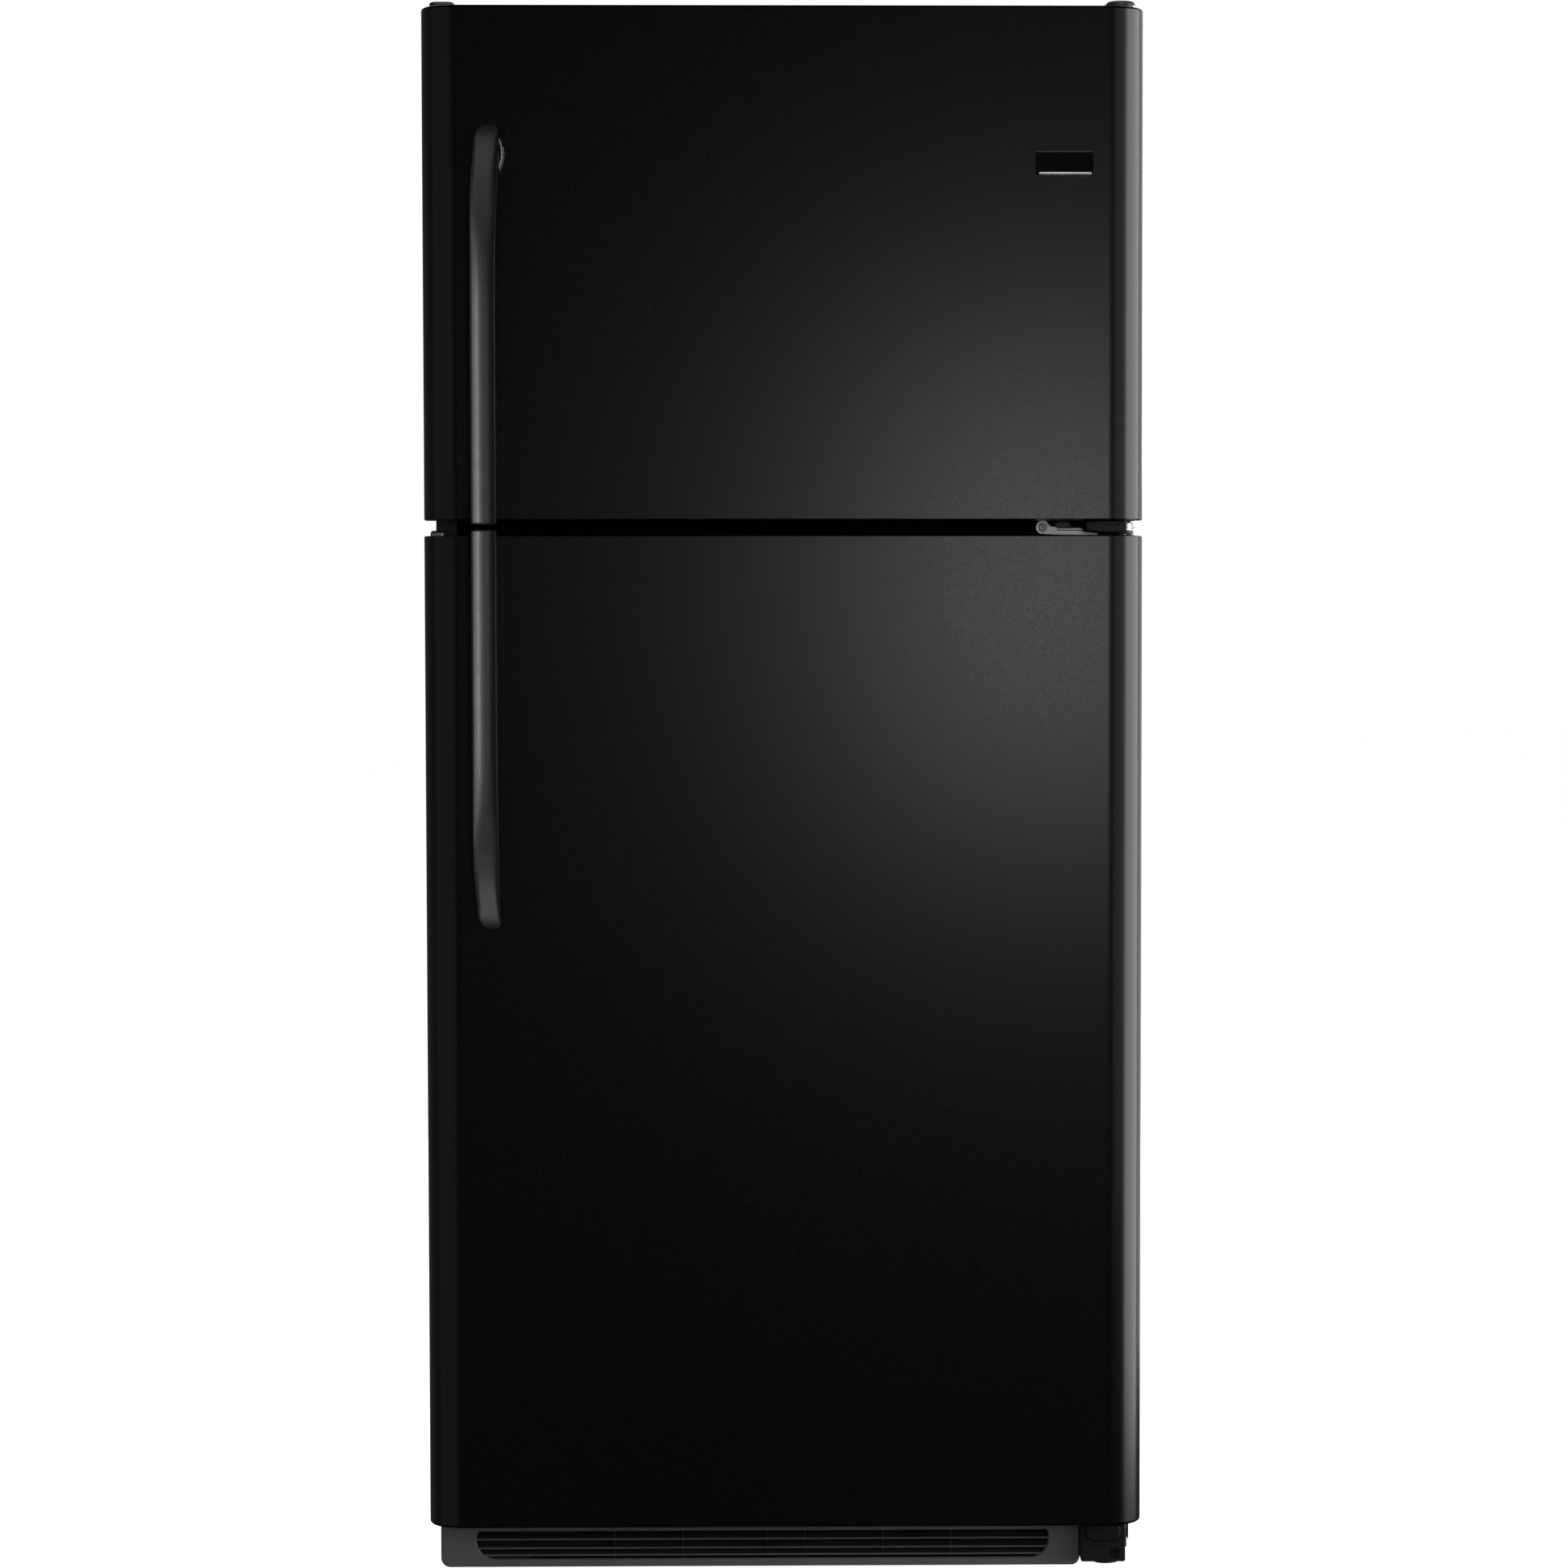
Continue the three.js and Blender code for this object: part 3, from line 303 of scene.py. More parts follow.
def loft(name, rings, closed=False):
    """A closed body through rings of points. A ring of one point is a pole.

    closed joins the last ring to the first.
    """
    mesh = bpy.data.meshes.new(name)
    build = bmesh.new()
    made = [[build.verts.new(point) for point in ring] for ring in rings]
    pairs = list(zip(made, made[1:])) + ([(made[-1], made[0])] if closed else [])
    for a, b in pairs:
        count = max(len(a), len(b))
        for i in range(count):
            j = (i + 1) % count
            corners = [a[i % len(a)], a[j % len(a)], b[j % len(b)], b[i % len(b)]]
            build.faces.new(list(dict.fromkeys(corners)))
    if not closed:
        for ring in (made[0], made[-1]):
            if len(ring) > 2:
                build.faces.new(ring)
    bmesh.ops.recalc_face_normals(build, faces=build.faces)
    build.to_mesh(mesh)
    build.free()
    return link(name, mesh)


def prism(name, outline, low, high, axis=2):
    """An outline of (u, v) points carried along an axis. u and v are the other two axes in order."""
    rings = []
    for w in (low, high):
        ring = [list(point) for point in outline]
        for point in ring:
            point.insert(axis, w)
        rings.append(ring)
    return loft(name, rings)


def turned(name, profile, place, axis="Z", sides=40):
    """A profile of (radius, height) turned about an axis through a place."""
    rings = []
    for radius, height in profile:
        if radius == 0:
            rings.append([(0, 0, height)])
            continue
        turns = [2 * pi * i / sides for i in range(sides)]
        rings.append([(radius * cos(t), radius * sin(t), height) for t in turns])
    made = loft(name, rings)
    facing = {"Z": Matrix(), "Y": Matrix.Rotation(-pi / 2, 4, "X")}
    made.data.transform(Matrix.Translation(place) @ facing[axis])
    return made


def rectangle(x0, x1, y0, y1):
    """A plain rectangle, as (u, v) points."""
    return [(x0, y0), (x1, y0), (x1, y1), (x0, y1)]


def rounded(x0, x1, y0, y1, radius, steps=5):
    """A rectangle with rounded corners, as (u, v) points."""
    radii = radius if isinstance(radius, (tuple, list)) else [radius] * 4
    corners = [(x1, y1, 0), (x0, y1, 90), (x0, y0, 180), (x1, y0, 270)]
    points = []
    for (x, y, start), r in zip(corners, radii):
        cx = x - copysign(r, x - (x0 + x1) / 2)
        cy = y - copysign(r, y - (y0 + y1) / 2)
        for i in range(steps + 1):
            t = radians(start + 90 * i / steps)
            points.append((cx + r * cos(t), cy + r * sin(t)))
    return points


def front_rings(levels, edges, radii, steps=5):
    """Rounded rectangles that face the front, one for each (inset, depth)."""
    left, right, low, high = edges
    rings = []
    for inset, y in levels:
        shape = rounded(left + inset, right - inset, low + inset, high - inset, radii, steps)
        rings.append([(x, y, z) for x, z in shape])
    return rings


def power(value, exponent):
    """A power that keeps the sign."""
    return copysign(abs(value) ** exponent, value)


def block(name, x, y, z, edge=0.001, steps=2):
    """A box with rounded edges, from the low and high value along each axis."""
    made = prism(name, rectangle(*x, *y), *z)
    return beveled(made, edge, steps)


def beveled(obj, width, steps=2, angle=35):
    """Rounds the edges of a mesh for good."""
    rounding = obj.modifiers.new("round", "BEVEL")
    rounding.width = width
    rounding.segments = steps
    rounding.limit_method = "ANGLE"
    rounding.angle_limit = radians(angle)
    return settle(obj)


def settle(obj):
    """Applies the modifiers."""
    graph = bpy.context.evaluated_depsgraph_get()
    mesh = bpy.data.meshes.new_from_object(obj.evaluated_get(graph))
    obj.modifiers.clear()
    old, obj.data = obj.data, mesh
    bpy.data.meshes.remove(old)
    mesh.name = obj.name
    return obj


def discard(*objects):
    """Takes helper bodies out of the scene."""
    for obj in objects:
        bpy.data.objects.remove(obj)


def carve(target, *tools, operation="DIFFERENCE"):
    """Cuts tools out of a body, or joins them to it."""
    for tool in tools:
        step = target.modifiers.new("carve", "BOOLEAN")
        step.operation = operation
        step.solver = "EXACT"
        step.object = tool
    settle(target)
    discard(*tools)
    return target


def gather(name, parts):
    """Several bodies as one object."""
    build = bmesh.new()
    for part in parts:
        build.from_mesh(part.data)
    mesh = bpy.data.meshes.new(name)
    build.to_mesh(mesh)
    build.free()
    discard(*parts)
    return link(name, mesh)


def show(obj, body, slot, material=None, replaces=(), angle=32):
    """Gives a piece its finish and the body that it rides on."""
    soften(obj, angle)
    obj.data.materials.clear()
    obj.data.materials.append(material or FINISHES[slot])
    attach(obj, body)
    if replaces:
        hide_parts(*replaces)
    return obj


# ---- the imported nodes
NODE_FINISHES = {
    "cabinet_shell": CABINET_PAINT,
    # the rail between the doors is painted shade black, so the gap between them reads as shadow
    "center_rail": SHADOW_BLACK,
    "leveling_leg_left": ROUGH_BLACK,
    "leveling_leg_right": ROUGH_BLACK,
}
NODE_EDGE = {"cabinet_shell": 0.0004}  # rounding of the edges, 0.6 mm on the others


def dress_nodes():
    """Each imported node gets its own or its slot's finish, and softly rounded edges."""
    for row in frame["record"]["subparts"]:
        node = NODES[row["node"]]
        material = NODE_FINISHES.get(row["node"], FINISHES[row["material_slot"]])
        for holder in node.material_slots:
            holder.material = material
        node.data.shade_smooth()
        weld = node.modifiers.new("weld", "WELD")
        weld.merge_threshold = 0.00001
        edge = node.modifiers.new("edge", "BEVEL")
        edge.width = NODE_EDGE.get(row["node"], 0.0006)
        edge.segments = 2
        edge.limit_method = "ANGLE"
        edge.angle_limit = radians(50)
        split = node.modifiers.new("split", "EDGE_SPLIT")
        split.split_angle = radians(40)
        normals = node.modifiers.new("normals", "WEIGHTED_NORMAL")
        normals.keep_sharp = True


# ---- doors
CORNER_DEPTH = 0.040  # how far the rounded sides reach back from the face
CORNER_FULLNESS = 2 / 2.1  # a little squarer than an ellipse
SHEET = 0.001  # thickness of the pan
BORE = 0.0058  # radius of the hinge bores
SEAM = (0.0075, 0.0083)  # the seam round each cap lies between these distances from the rim
SEAM_DEPTH = 0.0008
CAP_EDGE = {FREEZER: (0.0007, 0.003), FRIDGE: (0.0035, 0.001)}  # rounding of the lower and upper edge


def door_outline(inset, steps=24):
    """The door seen from above: flat back, rounded sides and flat face, drawn in by inset."""
    x = DOOR_SIDE - inset
    front, back = DOOR_FRONT + inset, DOOR_BACK - inset
    deep = CORNER_DEPTH - inset
    points = [(-x, back)]
    for middle, start in ((FACE[0], 180), (FACE[1], 270)):
        wide = x - abs(middle)
        for i in range(steps + 1):
            t = radians(start + 90 * i / steps)
            along = middle + wide * power(cos(t), CORNER_FULLNESS)
            points.append((along, front + deep + deep * power(sin(t), CORNER_FULLNESS)))
    return points + [(x, back)]


def door_panel(door):
    """Painted pan with its end caps: rounded all round, hollow for the foam and open at the back."""
    low, high = DOOR_LOW[door], DOOR_HIGH[door]
    foot, head = CAP_EDGE[door]
    steps = 6
    levels = []
    for i in range(steps + 1):
        t = pi / 2 * i / steps
        levels.append((foot * (1 - sin(t)), low + foot * (1 - cos(t))))
    for i in range(steps + 1):
        t = pi / 2 * (1 - i / steps)
        levels.append((head * (1 - sin(t)), high - head * (1 - cos(t))))
    rings = [[(x, y, z) for x, y in door_outline(inset)] for inset, z in levels]
    panel = loft(door + "_panel", rings)
    foam_low, foam_high = span(door + "_foam", 2)
    room = (foam_low - 0.0003, foam_high + 0.0003)
    cavity = prism("cavity", door_outline(SHEET), *room)
    opening = DOOR_SIDE - 0.013
    back = rectangle(-opening, opening, DOOR_BACK - 0.004, DOOR_BACK + 0.004)
    tools = [cavity, prism("opening", back, *room)]
    for side in (-1, 1):
        for level in (low, high):
            hole = [(0, -0.03), (BORE, -0.03), (BORE, 0.019), (0, 0.019)]
            if level == high:
                hole = [(r, -h) for r, h in reversed(hole)]
            tools.append(turned("bore", hole, (side * HINGE_X, HINGE_Y, level), sides=24))
    for z in ((high - SEAM_DEPTH, high + 0.01), (low - 0.01, low + SEAM_DEPTH)):
        ring = prism("seam", door_outline(SEAM[0]), *z)
        carve(ring, prism("inside", door_outline(SEAM[1]), z[0] - 0.01, z[1] + 0.01))
        tools.append(ring)
    carve(panel, *tools)
    parts = [door + part for part in ("_skin", "_top_cap", "_bottom_cap")]
    return show(panel, door, "painted_steel", replaces=parts)


# ---- handles
BAR_LEFT, BAR_RIGHT = -0.3259, -0.2987
# The height of each bar's near end, beside the other bar, and of its far end.
HANDLE_ENDS = {FREEZER: (1.1268, 1.5455), FRIDGE: (1.1208, 0.7008)}
BAR_THICKNESS = 0.018
BAR_SQUARE = 4.5  # how square the bar's back is, where 2 is an ellipse
END_CORNERS = ((0.0140, 0.0175, 1), (0.0065, 0.0075, -1))  # width and height of each, left and right
END_LEAN = 0.0027  # how far the far end leans towards the door's middle
END_FLARE = {FREEZER: 0.0022, FRIDGE: 0.0006}  # how much wider it is there
BAR_CURVE = 0.20  # length over which the far end leaves the door
# Distances from the far end at which the bar gets a ring, up to its straight part.
BAR_STATIONS = [0.0002, 0.001, 0.0022, 0.004, 0.0065, 0.0095, 0.013, 0.017, 0.022, 0.028]
BAR_STATIONS += [0.035, 0.042, 0.05, 0.058, 0.066, 0.075, 0.084, 0.093, 0.102, 0.112, 0.122]
BAR_STATIONS += [0.134, 0.147, 0.16, 0.173, 0.187, 0.205]
SEAT_BASE = BAR_RIGHT - 0.002
# The seat beside the far end: distance from the end, half its length, and how far it stands out.
SEATS = {FREEZER: (0.0310, 0.0225, 0.0095), FRIDGE: (0.024, 0.018, 0.0060)}


def eased(value):
    """0 to 1 with a soft start and end, for a value that may lie outside them."""
    value = max(0, min(value, 1))
    return value * value * (3 - 2 * value)


def bar_section(t, length, z, spread, sides=40):
    """One ring of the bar, at a distance t from its far end."""
    u = min(t / BAR_CURVE, 1)
    reach = (1 - (1 - u) ** 2.3) ** (1 / 1.4)
    front = DOOR_FRONT + (HANDLE_FRONT - DOOR_FRONT) * reach
    door = DOOR_FRONT - 0.0003
    back = door + (HANDLE_FRONT + BAR_THICKNESS - door) * eased((t - 0.038) / 0.062)
    left = BAR_LEFT + END_LEAN * eased((0.067 - t) / 0.055)
    flare = eased((0.150 - t) / 0.120)
    right = BAR_RIGHT + spread * flare
    for size, height, sign in END_CORNERS:
        if t < height:
            drawn = size * (1 - sqrt(max(0, 1 - (1 - t / height) ** 2)))
            left, right = (left + drawn, right) if sign > 0 else (left, right - drawn)
    shrink = max(0, 0.0016 - (length - t))
    left, right, front, back = left + shrink, right - shrink, front + shrink, back - shrink
    cx, cy = (left + right) / 2, (front + back) / 2
    half, deep = (right - left) / 2, max((back - front) / 2, 0.0001)
    ring = []
    for i in range(sides):
        a = 2 * pi * i / sides
        blunt = 2 / (BAR_SQUARE - 2.0 + 2.0 * flare) if sin(a) < 0 else 2 / BAR_SQUARE
        ring.append((cx + half * power(cos(a), blunt), cy + deep * power(sin(a), blunt), z))
    return ring


def handle(door):
    """A bar that springs from the door in a thumb-shaped end and stops square beside the other one."""
    name = door.replace("_door", "_handle_bar")
    near, far = HANDLE_ENDS[door]
    away = copysign(1, far - near)
    length = abs(far - near)
    bend = BAR_STATIONS[-1]
    stations = BAR_STATIONS + [bend + (length - bend - 0.008) * i / 6 for i in range(1, 7)]
    stations += [length - 0.0016, length - 0.0008, length]
    bar = loft(name, [bar_section(t, length, far - away * t, END_FLARE[door]) for t in stations])
    post = sorted((near + away * 0.008, near + away * 0.026))
    outline = rounded(BAR_LEFT + 0.005, BAR_RIGHT - 0.005, *post, 0.005)
    foot = prism("foot", outline, HANDLE_FRONT + 0.010, DOOR_FRONT - 0.0003, axis=1)
    carve(bar, foot, operation="UNION")
    show(bar, door, "handle_plastic", replaces=[name.replace("_bar", "")], angle=40)
    handle_seat(name, door, far, away)


def handle_seat(name, door, far, away):
    """The black seat beside the far end, which has a bright trim on the freezer's door."""
    from_end, half, proud = SEATS[door]
    middle = far - away * from_end
    seat = lens(name + "_seat", middle, half, proud, 0, 0.0065)
    # On the fridge's door the seat is painted shade black, so its rim reads as shadow.
    black = BADGE_BLACK if door == FREEZER else SHADOW_BLACK
    show(beveled(seat, 0.0012, 3), door, "black_plastic", black)
    if door == FREEZER:
        trim = lens(name + "_trim", middle, half * 0.92, proud * 0.86, proud * 0.62, 0.0100)
        show(beveled(trim, 0.0004, 2), door, "hinge_steel", CHROME)


def lens(name, middle, half, proud, inner, height):
    """A plate beside the bar, standing on the door, between an outer arc and an inner one or a point."""
    steps = [i / 8 for i in range(-8, 9)]

    def arc(depth):
        """Points from the lower tip to the upper one."""
        return [(SEAT_BASE + depth * (1 - s * s) ** 0.8, middle + half * s) for s in steps]

    outline = arc(proud) + (arc(inner)[-2:0:-1] if inner else [(SEAT_BASE - 0.004, middle)])
    return prism(name, outline, DOOR_FRONT - height, DOOR_FRONT - 0.0002, axis=1)


# ---- badge
BADGE_X, BADGE_Z = (0.2652, 0.3262), (1.4922, 1.5180)


def badge():
    """A blank plate with a bright strip along its lower edge."""
    x, z = BADGE_X, BADGE_Z
    outline = rounded(*x, *z, 0.0016)
    plate = prism("badge_plate", outline, DOOR_FRONT - 0.0022, DOOR_FRONT - 0.0001, axis=1)
    beveled(plate, 0.0004, 2)
    recess = rounded(x[0] + 0.0014, x[1] - 0.0014, z[0] + 0.0050, z[1] - 0.0014, 0.0008)
    carve(plate, prism("recess", recess, DOOR_FRONT - 0.01, DOOR_FRONT - 0.0018, axis=1))
    show(plate, FREEZER, "black_plastic", BADGE_BLACK)
    bright = rounded(x[0] + 0.0035, x[1] - 0.0022, z[0] + 0.0012, z[0] + 0.0038, 0.0011)
    strip = prism("badge_strip", bright, DOOR_FRONT - 0.0032, DOOR_FRONT - 0.0018, axis=1)
    show(beveled(strip, 0.0005, 3), FREEZER, "hinge_steel", CHROME)


# ---- center hinge
HINGE_FACE = CABINET_FRONT - 0.0003  # back of the parts screwed to the cabinet
PLATE_FRONT = HINGE_FACE - 0.003
ARM_LOW = DOOR_HIGH[FRIDGE] + 0.002
ARM_HIGH = ARM_LOW + 0.003
ARM_END = 0.012  # radius of the arm's end about the pin
EAR_X, EAR_Z, EAR_RADIUS = 0.2773, 1.1262, 0.0073  # the round end of the plate, with its screw


def angles(start, stop, step):
    """Angles in radians, from degrees."""
    return [radians(a) for a in range(start, stop, step)]


def hinge_ring(profile, low, sign=1, sides=40):
    """A ring about the hinge pin from a closed profile of (radius, height)."""
    turns = [2 * pi * i / sides for i in range(sides)]
    rings = []
    for r, h in profile:
        rings.append([(HINGE_X + r * cos(a), HINGE_Y + r * sin(a), low + sign * h) for a in turns])
    return rings


def center_bracket():
    """Plate with a round ear and a ridge, and the pin that both doors turn on."""
    ear = [(EAR_X + EAR_RADIUS * cos(t), EAR_Z + EAR_RADIUS * sin(t)) for t in angles(24, 275, 10)]
    outline = ear + [(0.300, ARM_LOW - 0.0002), (0.356, ARM_LOW), (0.356, ARM_LOW + 0.0006)]
    outline += [(0.323, 1.1212), (0.323, 1.1256), (0.2960, 1.1256), (0.2915, 1.1262)]
    outline += [(0.2898, 1.1272), (0.2878, 1.1268), (0.2860, 1.1276)]
    plate = beveled(prism("center_hinge_plate", outline, PLATE_FRONT, HINGE_FACE, axis=1), 0.0006)
    across, deep = (0.2935, 0.3245), (HINGE_FACE - 0.0050, HINGE_FACE - 0.001)
    ridge = block("ridge", across, deep, (1.1226, 1.1258), 0.0009, 4)
    foot, tip = DOOR_HIGH[FRIDGE] - 0.015, DOOR_LOW[FREEZER] + 0.015
    pin = [(0, foot), (0.0046, foot), (0.005, foot + 0.001)]
    pin += [(0.005, tip - 0.001), (0.0046, tip), (0, tip)]
    post = turned("pin", pin, (HINGE_X, HINGE_Y, 0), sides=28)
    whole = gather("center_hinge_plate", [plate, ridge, post])
    whole.name = "center_hinge_bracket"
    show(whole, "cabinet", "hinge_steel", replaces=["center_hinge"])


def center_arm():
    """Flat arm that runs from the plate to the pin."""
    start = PLATE_FRONT - 0.0002
    outline = [(0.336, start), (0.343, -0.290), (HINGE_X - ARM_END, HINGE_Y)]
    outline += [(HINGE_X + ARM_END * cos(t), HINGE_Y + ARM_END * sin(t)) for t in angles(195, 361, 15)]
    outline += [(HINGE_X + ARM_END, start)]
    arm = beveled(prism("center_hinge_arm", outline, ARM_LOW, ARM_HIGH), 0.0006)
    bore = [(0, ARM_LOW - 0.01), (0.0052, ARM_LOW - 0.01), (0.0052, ARM_LOW + 0.01), (0, ARM_LOW + 0.01)]
    carve(arm, turned("bore", bore, (HINGE_X, HINGE_Y, 0), sides=28))
    show(arm, "cabinet", "black_plastic")


def center_lug():
    """Dark raised lug above the plate's ridge."""
    outline = [(0.3235, 1.1264), (0.3075, 1.1268), (0.3072, 1.1296)]
    outline += [(0.3058, 1.1310), (0.3035, 1.1320), (0.2945, 1.1320)]
    outline += [(0.2920, 1.1306), (0.2905, 1.1282), (0.2915, 1.1266), (0.2960, 1.1262)]
    lug = prism("center_hinge_lug", outline, HINGE_FACE - 0.004, HINGE_FACE - 0.0002, axis=1)
    show(beveled(lug, 0.0008, 3), "cabinet", "zinc_steel", DARK_STEEL)


def center_screw():
    """Screw head with a hollow, in the middle of the ear."""
    screw = [(0, -0.0008), (0.0013, -0.0008), (0.0017, -0.0016), (0.0034, -0.0015)]
    screw += [(0.0042, -0.0008), (0.0044, 0), (0, 0)]
    head = turned("center_hinge_screw", screw, (EAR_X, PLATE_FRONT, EAR_Z), axis="Y", sides=32)
    show(head, "cabinet", "zinc_steel")


def center_block():
    """Rough black block in front of the plate, hollow round the pin and open at the rear right."""
    outline = [(0.3205, 1.1308), (0.334, 1.1318), (0.3635, 1.1316)]
    outline += [(0.3632, 1.1206), (0.340, 1.1200), (0.3205, 1.1216)]
    front, back = HINGE_Y - 0.0175, HINGE_FACE - 0.0035
    body = beveled(prism("center_hinge_block", outline, front, back, axis=1), 0.0012, 3)
    low, high, radius = 1.10, 1.15, 0.0148
    room = [(0, low), (radius, low), (radius, high), (0, high)]
    carve(body, turned("room", room, (HINGE_X, HINGE_Y, 0), sides=40))
    corner = rectangle(HINGE_X - 0.004, HINGE_X + 0.05, HINGE_Y, HINGE_FACE)
    carve(body, prism("corner", corner, low, high))
    show(body, "cabinet", "black_plastic", ROUGH_BLACK)


def center_washers():
    """Bright stack on the arm: a wide washer between two narrow ones."""
    stack = [(0.0053, 0), (0.0112, 0), (0.0118, 0.0008), (0.0112, 0.0016), (0.0102, 0.0021)]
    stack += [(0.0112, 0.0027), (0.0142, 0.0042), (0.0142, 0.0048), (0.0112, 0.0063), (0.0102, 0.0068)]
    stack += [(0.0112, 0.0074), (0.0118, 0.0082), (0.0108, 0.009), (0.0053, 0.009)]
    washers = loft("center_hinge_washers", hinge_ring(stack, ARM_HIGH + 0.0001), closed=True)
    show(washers, "cabinet", "hinge_steel", CHROME, angle=28)


def door_bushings():
    """Flanged rings round the pin, one let into each door."""
    profile = [(0.0054, 0.003), (0.0054, -0.0012), (0.0125, -0.0012), (0.0135, -0.0006)]
    profile += [(0.0135, 0.0004), (0.0057, 0.0004), (0.0057, 0.003)]
    for door, z, sign in ((FREEZER, DOOR_LOW[FREEZER], 1), (FRIDGE, DOOR_HIGH[FRIDGE], -1)):
        ring = loft(door + "_bushing", hinge_ring(profile, z, sign, 32), closed=True)
        show(ring, door, "black_plastic")


# ---- covers, plugs and kick plate
def top_hinge_cover():
    """Rounded plastic cover on the cabinet's top, with a nose over the door's pin."""
    (left, right), (_, back), (low, high) = spans("top_hinge_cover")
    nose_x, nose_y = HINGE_X - 0.003, HINGE_Y - 0.001
    shoulder = CABINET_FRONT + 0.004

    def outline(inset):
        """The cover seen from above, drawn in by inset."""
        nose = 0.0155 - inset
        points = [(left + inset, back - inset), (left + inset, shoulder + inset)]
        points += [(nose_x - nose - 0.004, shoulder + inset)]
        points += [(nose_x + nose * cos(t), nose_y + nose * sin(t)) for t in angles(180, 361, 12)]
        return points + [(right - inset, back - inset)]

    levels = [(0, low), (0, high - 0.0035), (0.0005, high - 0.0018)]
    levels += [(0.0017, high - 0.0006), (0.0035, high)]
    cover = loft("top_hinge_cap", [[(x, y, z) for x, y in outline(inset)] for inset, z in levels])
    carve(cover, prism("inside", outline(0.0016), low - 0.01, high - 0.0018))
    show(cover, "cabinet", "black_plastic", replaces=["top_hinge_cover"])


GRILLE_OPENING = (-0.3330, 0.2835, 0.0176, 0.0488)  # left, right, lower and upper edge
# The height of each louvre, and how far its ends draw in.
LOUVRES = ((0.0390, 0), (0.0295, 0.002), (0.0219, 0.009))
# Sections of a louvre's lip and blade: depth behind the front, and height above the louvre's own.
LOUVRE_NOSE = ((0.0004, -0.0002), (0.0010, -0.0008), (0.0024, -0.0008))
LOUVRE_NOSE += ((0.0024, 0.0010), (0.0012, 0.0008), (0.0005, 0.0003))
LOUVRE_BLADE = ((0.0020, -0.0005), (0.0145, 0.0052), (0.0145, 0.0066))
LOUVRE_BLADE += ((0.0105, 0.0054), (0.0065, 0.0036), (0.0020, 0.0008))
GRILLE_RIBS = (-0.184, -0.1105, -0.0205, 0.0002, 0.0206, 0.1047, 0.1779)


def grille_box():
    """The kick plate's box, which reaches a little further left than its node."""
    (left, right), deep, up = spans("toe_grille")
    return (left - 0.0028, right), deep, up


def louvre_parts(name, section):
    """One body for each louvre, of this section."""
    front = grille_box()[1][0]
    parts = []
    for height, ends in LOUVRES:
        reach = (GRILLE_OPENING[0] + ends - 0.001, GRILLE_OPENING[1] - ends + 0.001)
        outline = [(front + depth, height + rise) for depth, rise in section]
        parts.append(prism(name, outline, *reach, axis=0))
    return parts


def toe_grille():
    """Kick plate round a long opening with rounded ends, with a lip for each louvre."""
    (left, right), (front, back), (low, high) = grille_box()
    levels = [(0.0035, front), (0.0014, front + 0.0005), (0.0004, front + 0.0016)]
    levels += [(0, front + 0.0034), (0, back)]
    rings = front_rings(levels, (left, right, low, high), [0.004, 0.004, 0.010, 0.009], 8)
    plate = loft("toe_grille_louvred", rings)
    edges = (left + 0.0025, right - 0.0025, low + 0.0025, high - 0.0025)
    room = rounded(*edges, [0.002, 0.002, 0.009, 0.011], 8)
    gap = GRILLE_OPENING
    levels = [(-0.0016, front - 0.005), (-0.0004, front + 0.0008), (0.0010, front + 0.004)]
    rings = front_rings(levels, gap, [0.006, 0.006, 0.021, 0.021], 12)
    carve(plate, prism("room", room, front + 0.0028, back + 0.01, axis=1), loft("hole", rings))
    parts = louvre_parts("nose", LOUVRE_NOSE)
    brow = [(front - 0.0001, gap[3] - 0.0004), (front + 0.0025, gap[3] - 0.0012)]
    brow += [(front + 0.0025, gap[3] + 0.0020), (front + 0.0001, gap[3] + 0.0008)]
    parts.append(prism("brow", brow, gap[0] + 0.004, gap[1] - 0.004, axis=0))
    shelf = rectangle(front + 0.001, back, low + 0.0005, low + 0.002)
    parts.append(prism("lip", shelf, left + 0.012, right - 0.014, axis=0))
    carve(plate, *parts, operation="UNION")
    # The plate is painted light: pale grey in place of its black plastic.
    show(plate, "cabinet", "black_plastic", GRILLE_PAINTED_LIGHT_GREY, replaces=["toe_grille"])


def grille_louvres():
    """Curved blades behind the opening, with upright ribs and a screen that hold them together, all in a darker
    painted shade grey.
    """
    (left, _), (front, _), (low, high) = grille_box()
    louvres, *parts = louvre_parts("toe_grille_louvres", LOUVRE_BLADE)
    for x in GRILLE_RIBS:
        half = 0.0008 if abs(x) > 0.03 else 0.0005
        section = rectangle(front + 0.0030, front + 0.012, low + 0.004, GRILLE_OPENING[3] + 0.002)
        parts.append(prism("rib", section, x - half, x + half, axis=0))
    screen = rectangle(front + 0.0142, front + 0.0155, low + 0.002, high - 0.003)
    parts.append(prism("screen", screen, left + 0.004, -0.2765, axis=0))
    carve(louvres, *parts, operation="UNION")
    show(louvres, "cabinet", "black_plastic", LOUVRE_PAINTED_SHADE_GREY)


def grille_baffle():
    """Wall that closes the kick plate at the back, painted shade black so that the gaps between the louvres read
    as shadow.
    """
    (left, _), (_, back), (low, high) = grille_box()
    wall = rectangle(back - 0.0030, back - 0.0005, low + 0.0025, high)
    baffle = prism("toe_grille_baffle", wall, left + 0.006, 0.3312, axis=0)
    show(baffle, "cabinet", "black_plastic", SHADOW_BLACK)


